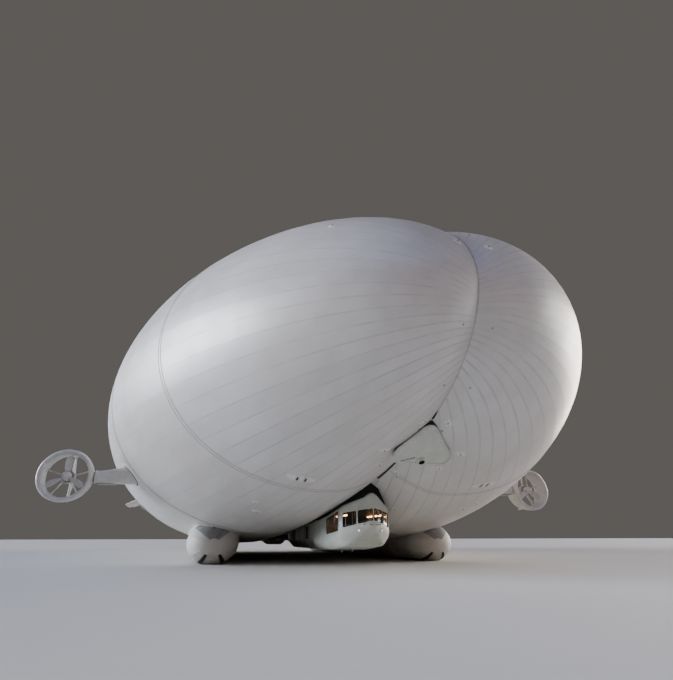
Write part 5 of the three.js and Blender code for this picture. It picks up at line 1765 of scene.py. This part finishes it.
def cushion(width, depth, thick, channels):
    """A crowned pad in the XY plane, its sides drawn in between the corners, with sewn channels across."""
    count = 26
    grid = np.linspace(-1, 1, count)
    across, along = np.meshgrid(np.sin(grid * math.pi / 2), np.sin(grid * math.pi / 2), indexing="ij")
    rim = np.minimum(1 - np.abs(across), 1 - np.abs(along))
    fullness = (1 - np.abs(across) ** 5) ** 0.45 * (1 - np.abs(along) ** 5) ** 0.45
    waist = 1 - 0.035 * (1 - along**2) * np.abs(across), 1 - 0.035 * (1 - across**2) * np.abs(along)
    x, y = across * width / 2 * waist[0], along * depth / 2 * waist[1]
    sewn = sum(np.exp(-(((along - c) / 0.035) ** 2)) for c in channels) if len(channels) else 0 * x
    crown = 1 + 0.12 * (1 - across**2) * (1 - along**2)
    top = thick * (0.5 + 0.5 * fullness * crown) - 0.018 * sewn * (rim > 0.05)
    low = thick * (0.5 - 0.46 * fullness)
    points = np.concatenate([np.stack([x, y, z], -1).reshape(-1, 3) for z in (top, low)])
    faces, size = [], count * count
    for i in range(count - 1):
        for j in range(count - 1):
            a, b, c, d = i * count + j, (i + 1) * count + j, (i + 1) * count + j + 1, i * count + j + 1
            faces += [(a, b, c, d), (d + size, c + size, b + size, a + size)]
    return points, faces


def seats():
    """Pilots' seats: crowned cushions with piping on a pressed pan and a post."""
    for side_name, side in SIDES:
        x, under = side * SEAT_X, SEAT_UNDER
        wide, deep, tall = SEAT_WIDTH - 0.02, SEAT_DEPTH - 0.08, SEAT_BACK - 0.04
        back_y, back_z = SEAT_Y + SEAT_DEPTH / 2, SEAT_TOP + SEAT_BACK / 2
        lying = moved(cushion(wide, deep, CUSHION - 0.02, (-0.33, 0.33)), (x, SEAT_Y - 0.04, under + 0.02))
        upright = cushion(wide, tall, CUSHION - 0.03, (-0.5, 0.0, 0.5))
        upright = moved(upright, (x, back_y - 0.02, back_z), turn=Matrix.Rotation(math.pi / 2, 3, "X"))
        name = f"{side_name}_pilot_seat"
        piece(f"{name}_cushion", lying, SEAT_CLOTH, slot="seat_cover")
        piece(f"{name}_back_cushion", upright, SEAT_CLOTH, slot="seat_cover")
        pan = [
            [(x + a, SEAT_Y + b, z) for a, b in rounded(SEAT_WIDTH * s, SEAT_DEPTH * s, 0.06)]
            for z, s in ((under - 0.03, 0.9), (under, 0.98), (under + 0.012, 0.98))
        ]
        back = [
            [(x + a, back_y + y, back_z - 0.02 + b) for a, b in rounded(SEAT_WIDTH * s, SEAT_BACK * s, 0.08)]
            for y, s in ((-0.02, 0.96), (0.0, 0.98), (0.02, 0.9))
        ]
        parts = [
            lofted(pan), lofted(back),
            rod((x, SEAT_Y, SEAT_FLOOR), (x, SEAT_Y, under - 0.02), 0.06),
            rod((x, SEAT_Y, SEAT_FLOOR), (x, SEAT_Y, 1.31), 0.15, 28),
            rod((x, SEAT_Y, 1.5), (x, SEAT_Y, under - 0.02), 0.08, end_radius=0.13),
        ]
        for arm in (-1, 1):
            edge = x + arm * (SEAT_WIDTH / 2 + 0.02)
            bends = ((0.22, -0.08), (0.24, 0.2), (-0.12, 0.22))
            parts.append(tube([(edge, SEAT_Y + dy, SEAT_TOP + dz) for dy, dz in bends], 0.018, 8))
        nodes = [f"pilot_seat_{side_name}"]
        piece(f"{name}_frame", together(parts), FRAME_METAL, slot="dark_frame", stands_for=nodes)
        lower = rounded(wide * 0.985, deep * 0.985, 0.03)
        lower = [(x + a, SEAT_Y - 0.04 + b, under + 0.07) for a, b in lower]
        upper = [(x + a, back_y - 0.065, back_z + b) for a, b in rounded(wide * 0.985, tall * 0.985, 0.03)]
        sewing = [tube(path, 0.009, 6, loop=True) for path in (lower, upper)]
        piece(f"{name}_piping", together(sewing), WEBBING, slot="seat_cover")


def console():
    """The instrument console with four screens, knobs, throttle levers and side sticks."""
    softened("console_body", "instrument_console", FRAME_METAL, "airship", "dark_frame", 0.02)
    face = Vector((0, -30.475, 2.075))
    out, up = Vector((0, 1, 1)).normalized(), Vector((0, -1, 1)).normalized()
    bezels, screens, knobs = [], [], []
    for x in (-0.8, -0.28, 0.28, 0.8):
        at = face + Vector((x, 0, 0))
        bezels.append(plate(rounded(0.4, 0.28, 0.03), at, (-1, 0, 0), up, 0.02))
        screens.append(plate(rounded(0.34, 0.22, 0.015), at + out * 0.018, (-1, 0, 0), up, 0.006))
        for step in range(5):
            spot = at + Vector((0.16 - step * 0.08, 0, 0)) - up * 0.155
            knobs.append(rod(spot, spot + out * 0.025, 0.012, 12, 0.01))
    for x in (-0.09, -0.03, 0.03, 0.09):
        foot = Vector((x, -30.42, 2.05))
        knobs.append(rod(foot, foot + Vector((0, 0.1, 0.14)), 0.008, 8))
        knobs.append(rod(foot + Vector((0, 0.09, 0.13)), foot + Vector((0, 0.11, 0.17)), 0.018, 12))
    for side in (-1, 1):
        foot = Vector((side * 1.0, SEAT_Y - 0.15, 1.75))
        knobs.append(rod(foot - Vector((0, 0, 0.45)), foot, 0.05, 16, 0.035))
        knobs.append(rod(foot, foot + Vector((0, -0.02, 0.16)), 0.02, 12, 0.026))
    piece("console_bezels", together(bezels), RUBBER_AND_SHADE, slot="dark_frame")
    piece("console_screens", together(screens), SCREEN, slot="window_glass")
    piece("console_knobs", together(knobs), FITTINGS, slot="dark_frame")


# The modules behind the flight deck: y of each one's ends, half width, and floor heights there.
MODULES = {
    "mid_body_module": ((-24.4, -14.1), 1.55, (0.95, 0.95)),
    "payload_beam": ((-13.95, 2.9), 0.95, (1.45, 1.6)),
    "fuel_module": ((3.05, 12.4), 1.5, (1.0, 1.6)),
}
CHAMFER, ROOF_GAP = 0.55, 0.14
# The bellows between modules: y of each one's middle, and the module and y that its section follows.
BELLOWS = (
    (-24.475, "mid_body_module", -24.4), (-14.025, "payload_beam", -13.9), (2.975, "payload_beam", 2.85),
)


def module_ring(name, y, drawn_in=0.0):
    """A module's section at y: rounded lower corners and a roof that follows the hull."""
    (fore, aft), half, floors = MODULES[name]
    floor = between(floors, (y - fore) / (aft - fore))
    roof = [(x, hull_above(x, y) - ROOF_GAP) for x in np.array([1, 0.66, 0.33, 0, -0.33, -0.66, -1]) * half]
    base = [(-half + CHAMFER, floor), (half - CHAMFER, floor), (half, floor + CHAMFER)]
    outline = soft_corners(base + roof + [(-half, floor + CHAMFER)], 0.16, 3)
    middle = outline.mean(0)
    return [(x, y, z) for x, z in middle + (outline - middle) * (1 - drawn_in / half)]


def gondola():
    """The modules with their panel joints, access panels, louvres and hatches."""
    joints, panels, screws, vents, hatches = [], [], [], [], []
    for name, ((fore, aft), half, floors) in MODULES.items():
        ends = np.array([0.0, 0.015, 0.05, 0.12])
        stations = np.concatenate([fore + ends, np.linspace(fore + 0.5, aft - 0.5, 16), aft - ends[::-1]])
        inset = np.concatenate([[0.1, 0.045, 0.012, 0.0], np.zeros(16), [0.0, 0.012, 0.045, 0.1]])
        finish, slot = (FRAME_METAL, "dark_frame") if name == "payload_beam" else (PANEL_PAINT, "composite")
        skin = lofted([module_ring(name, y, d) for y, d in zip(stations, inset)])
        piece(f"{name}_skin", skin, finish, slot=slot, stands_for=[name], sharp=30)
        count = round((aft - fore) / 1.7)
        marks = np.linspace(fore, aft, count + 1)
        for y in marks[1:-1]:
            joints.append(tube(module_ring(name, y, -0.002), 0.014, 6, loop=True))
        for bay, (start, end) in enumerate(zip(marks, marks[1:])):
            y = (start + end) / 2
            low = between(floors, (y - fore) / (aft - fore)) + CHAMFER
            high = hull_above(half, y) - ROOF_GAP
            middle, tall, long = (low + high) / 2, high - low - 0.3, end - start - 0.3
            if tall < 0.2:
                continue
            at = (half - 0.004, y, middle)
            if name != "payload_beam" and bay % 3 == 1:
                vents.append(side_plate(rounded(long * 0.62, tall, 0.05), at, 0.02))
                for step in np.linspace(-0.4, 0.4, 7):
                    z, reach = middle + step * tall, long * 0.27
                    low, high = (half + 0.008, y - reach, z - 0.012), (half + 0.04, y + reach, z + 0.012)
                    vents.append(block(low, high))
            else:
                panels.append(side_plate(rounded(long, tall, 0.07), at, 0.018))
                for dy in np.linspace(-0.46, 0.46, 6):
                    for dz in (-0.42, 0.42):
                        spot = Vector((half + 0.01, y + dy * long, middle + dz * tall))
                        screws.append(rod(spot, spot + Vector((0.012, 0, 0)), 0.012, 8))
                for dz in (-0.25, 0.25):
                    catch = (half + 0.012, y + long * 0.42, middle + dz * tall)
                    screws.append(side_plate(rounded(0.09, 0.05, 0.015), catch, 0.012))
            if name != "payload_beam" and bay % 2 == 0:
                floor = between(floors, (y - fore) / (aft - fore))
                tilt = Vector((0, aft - fore, floors[1] - floors[0])).normalized()
                hatches.append(plate(rounded(1.1, 0.8, 0.1), (0, y, floor), (-1, 0, 0), tilt, 0.02))
    piece("gondola_joints", together(joints), RUBBER_AND_SHADE, slot="dark_frame")
    piece("gondola_access_panels", on_both_sides(together(panels)), PALE_PAINT, slot="composite")
    piece("gondola_belly_hatches", together(hatches), PALE_PAINT, slot="composite")
    piece("gondola_louvres", on_both_sides(together(vents)), FRAME_METAL, slot="dark_frame")
    piece("gondola_screws", on_both_sides(together(screws)), FITTINGS, slot="dark_frame")


def payload_fittings():
    """The payload beam's two rails on each side, and its lugs with their rings."""
    (fore, aft), half, floors = MODULES["payload_beam"]
    rails, lugs = [], []
    for part in np.linspace(0.02, 0.98, 15):
        y, floor = between((fore, aft), part), between(floors, part)
        centre = (half - CHAMFER + 0.2, y, floor + 0.12)
        lugs.append(plate(rounded(0.34, 0.2, 0.05), centre, (0, 1, 0), (-0.707, 0, 0.707), 0.03))
        lugs.append(hoop((half - CHAMFER * 0.35, y, floor + 0.12), (0, 1, 0), 0.07, 0.02, 18))
    for drawn_in, rise in ((CHAMFER, 0.0), (0.0, 0.48 + CHAMFER)):
        rings = []
        for part in (0.01, 0.5, 0.99):
            x, y, z = half + 0.01 - drawn_in, between((fore, aft), part), between(floors, part) + rise
            rings.append([(x + a, y, z + b) for a, b in rounded(0.07, 0.05, 0.015)])
        rails.append(lofted(rings))
    piece("payload_rails", on_both_sides(together(rails)), COWL_PAINT, slot="dark_frame")
    piece("payload_lugs", on_both_sides(together(lugs)), FITTINGS, slot="dark_frame")


def skirt(fore, aft, edge_at):
    """A black skirt of painted shade across a gap under the hull; edge_at gives its half width and lower edge
    at y, and its top lies in the hull.
    """
    rings = []
    for y in np.linspace(fore, aft, 24):
        half, low = edge_at(y)
        roof = [(x, y, hull_above(x, y) + 0.06) for x in np.linspace(half, -half, 9)]
        rings.append([(-half, y, low), (half, y, low)] + roof)
    return lofted(rings)


def shaded_gap_skirts():
    """The black skirts that fill the gaps from the deck and the modules to the hull, painted shade that
    stands for the dark gaps there, and the bellows between them.
    """
    skirts = [skirt(-32.3, -24.6, lambda y: (deck_value(y, WAIST) * 0.86, deck_value(y, EAVES) - 0.1))]
    for fore, aft, half in ((-24.3, -14.2, 1.4), (-13.85, 2.8, 0.82), (3.15, 12.3, 1.36)):
        skirts.append(skirt(fore, aft, lambda y, half=half: (half, hull_above(half, y) - 0.4)))
    for y, name, ring_y in BELLOWS:
        ring = [(x * 0.94, z if z > 1.6 else z + 0.05) for x, _, z in module_ring(name, ring_y)]
        skirts.append(lofted([[(x, y + dy, z) for x, z in ring] for dy in (-0.12, 0.12)]))
    piece("gondola_shaded_gap_skirts", together(skirts), GAP_SHADE_CLOTH, slot="dark_frame")


deck_shell()
deck_seams()
deck_fittings()
cabin()
crew_door()
seats()
console()
gondola()
payload_fittings()
shaded_gap_skirts()


# In metres of the model: the floor lies just under the skids.
FLOOR_REACH, FLOOR_Z = 400.0, -0.0005


def stage_and_light():
    """A pale floor that runs on past the view, and large soft lights."""
    scene = bpy.context.scene
    world = bpy.data.worlds.new("studio")
    world.use_nodes = True
    background = world.node_tree.nodes["Background"]
    background.inputs["Color"].default_value = linear("#C8C2BC")
    background.inputs["Strength"].default_value = 0.2
    scene.world = world
    floor = bpy.data.meshes.new("studio_floor")
    corners = [(x * FLOOR_REACH, y * FLOOR_REACH, FLOOR_Z) for x, y in ((-1, -1), (1, -1), (1, 1), (-1, 1))]
    floor.from_pydata(corners, [], [(0, 1, 2, 3)])
    floor.materials.append(surface(
        "studio_floor_paint", ("#C9C9C6", "#CFCFCC"), 2500, 3.0,
        Roughness=0.95, IOR=1.45, Specular_IOR_Level=0.2,
    ))
    ground = bpy.data.objects.new("studio_floor", floor)
    scene.collection.objects.link(ground)
    # Where each light comes from, its strength, its width in degrees and its colour.
    lights = (
        ("starboard_key", (-0.94, 0.32, 0.1), 8.5, 42, "#EAF0FF"),
        ("port_fill", (1.0, 0.0, 0.1), 2.4, 40, "#FFFFFF"),
        ("port_rim", (0.93, 0.36, 0.12), 4.2, 35, "#FFEFE4"),
        ("sky", (-0.1, -0.6, 1.0), 0.55, 60, "#78A8FF"),
        ("front_warm", (0.25, -1.0, 0.03), 0.3, 70, "#FF9E62"),
    )
    for name, comes_from, strength, width, code in lights:
        light = bpy.data.lights.new(name, "SUN")
        light.energy = strength
        light.angle = math.radians(width)
        light.color = linear(code)[:3]
        lit = bpy.data.objects.new(name, light)
        lit.rotation_euler = Vector(comes_from).to_track_quat("Z", "Y").to_euler()
        scene.collection.objects.link(lit)


# The camera stands on the floor ahead of the ship and to its starboard side, and looks up.
CAMERA_AT = (-1.036, -5.960, 0.165)
CAMERA_YAW, CAMERA_PITCH, CAMERA_ROLL = math.radians(16.64), math.radians(23.86), math.radians(0.12)
FOCAL_PIXELS, FRAME_PIXELS, SENSOR = 449.37, 680, 36.0


def camera():
    """The camera at the photograph's place and angle."""
    forward = Vector((
        math.sin(CAMERA_YAW) * math.cos(CAMERA_PITCH),
        math.cos(CAMERA_YAW) * math.cos(CAMERA_PITCH),
        math.sin(CAMERA_PITCH),
    ))
    level = Vector((math.cos(CAMERA_YAW), -math.sin(CAMERA_YAW), 0))
    upright = level.cross(forward)
    right = level * math.cos(CAMERA_ROLL) - upright * math.sin(CAMERA_ROLL)
    up = level * math.sin(CAMERA_ROLL) + upright * math.cos(CAMERA_ROLL)
    made = bpy.data.objects.new("camera", bpy.data.cameras.new("camera"))
    made.data.sensor_width = SENSOR
    made.data.lens = FOCAL_PIXELS * SENSOR / FRAME_PIXELS
    made.matrix_world = Matrix((right, up, -forward)).transposed().to_4x4()
    made.location = CAMERA_AT
    bpy.context.scene.collection.objects.link(made)
    bpy.context.scene.camera = made


camera()
stage_and_light()

PLAIN = {
    "windscreen": GLASS, "window": GLASS, "seat": SEAT_CLOTH, "fin": FIN_FABRIC, "vane": FIN_FABRIC,
    "propeller": BLADE_PAINT, "duct": DUCT_PAINT, "engine": COWL_PAINT, "skid": SKID_FABRIC,
    "cone": HULL_FABRIC, "socket": FRAME_METAL, "beam": FRAME_METAL, "console": FRAME_METAL,
}
for name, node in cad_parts.items():
    finish = next((f for word, f in PLAIN.items() if word in name.split("_")), PALE_PAINT)
    node.data.materials.clear()
    node.data.materials.append(finish)
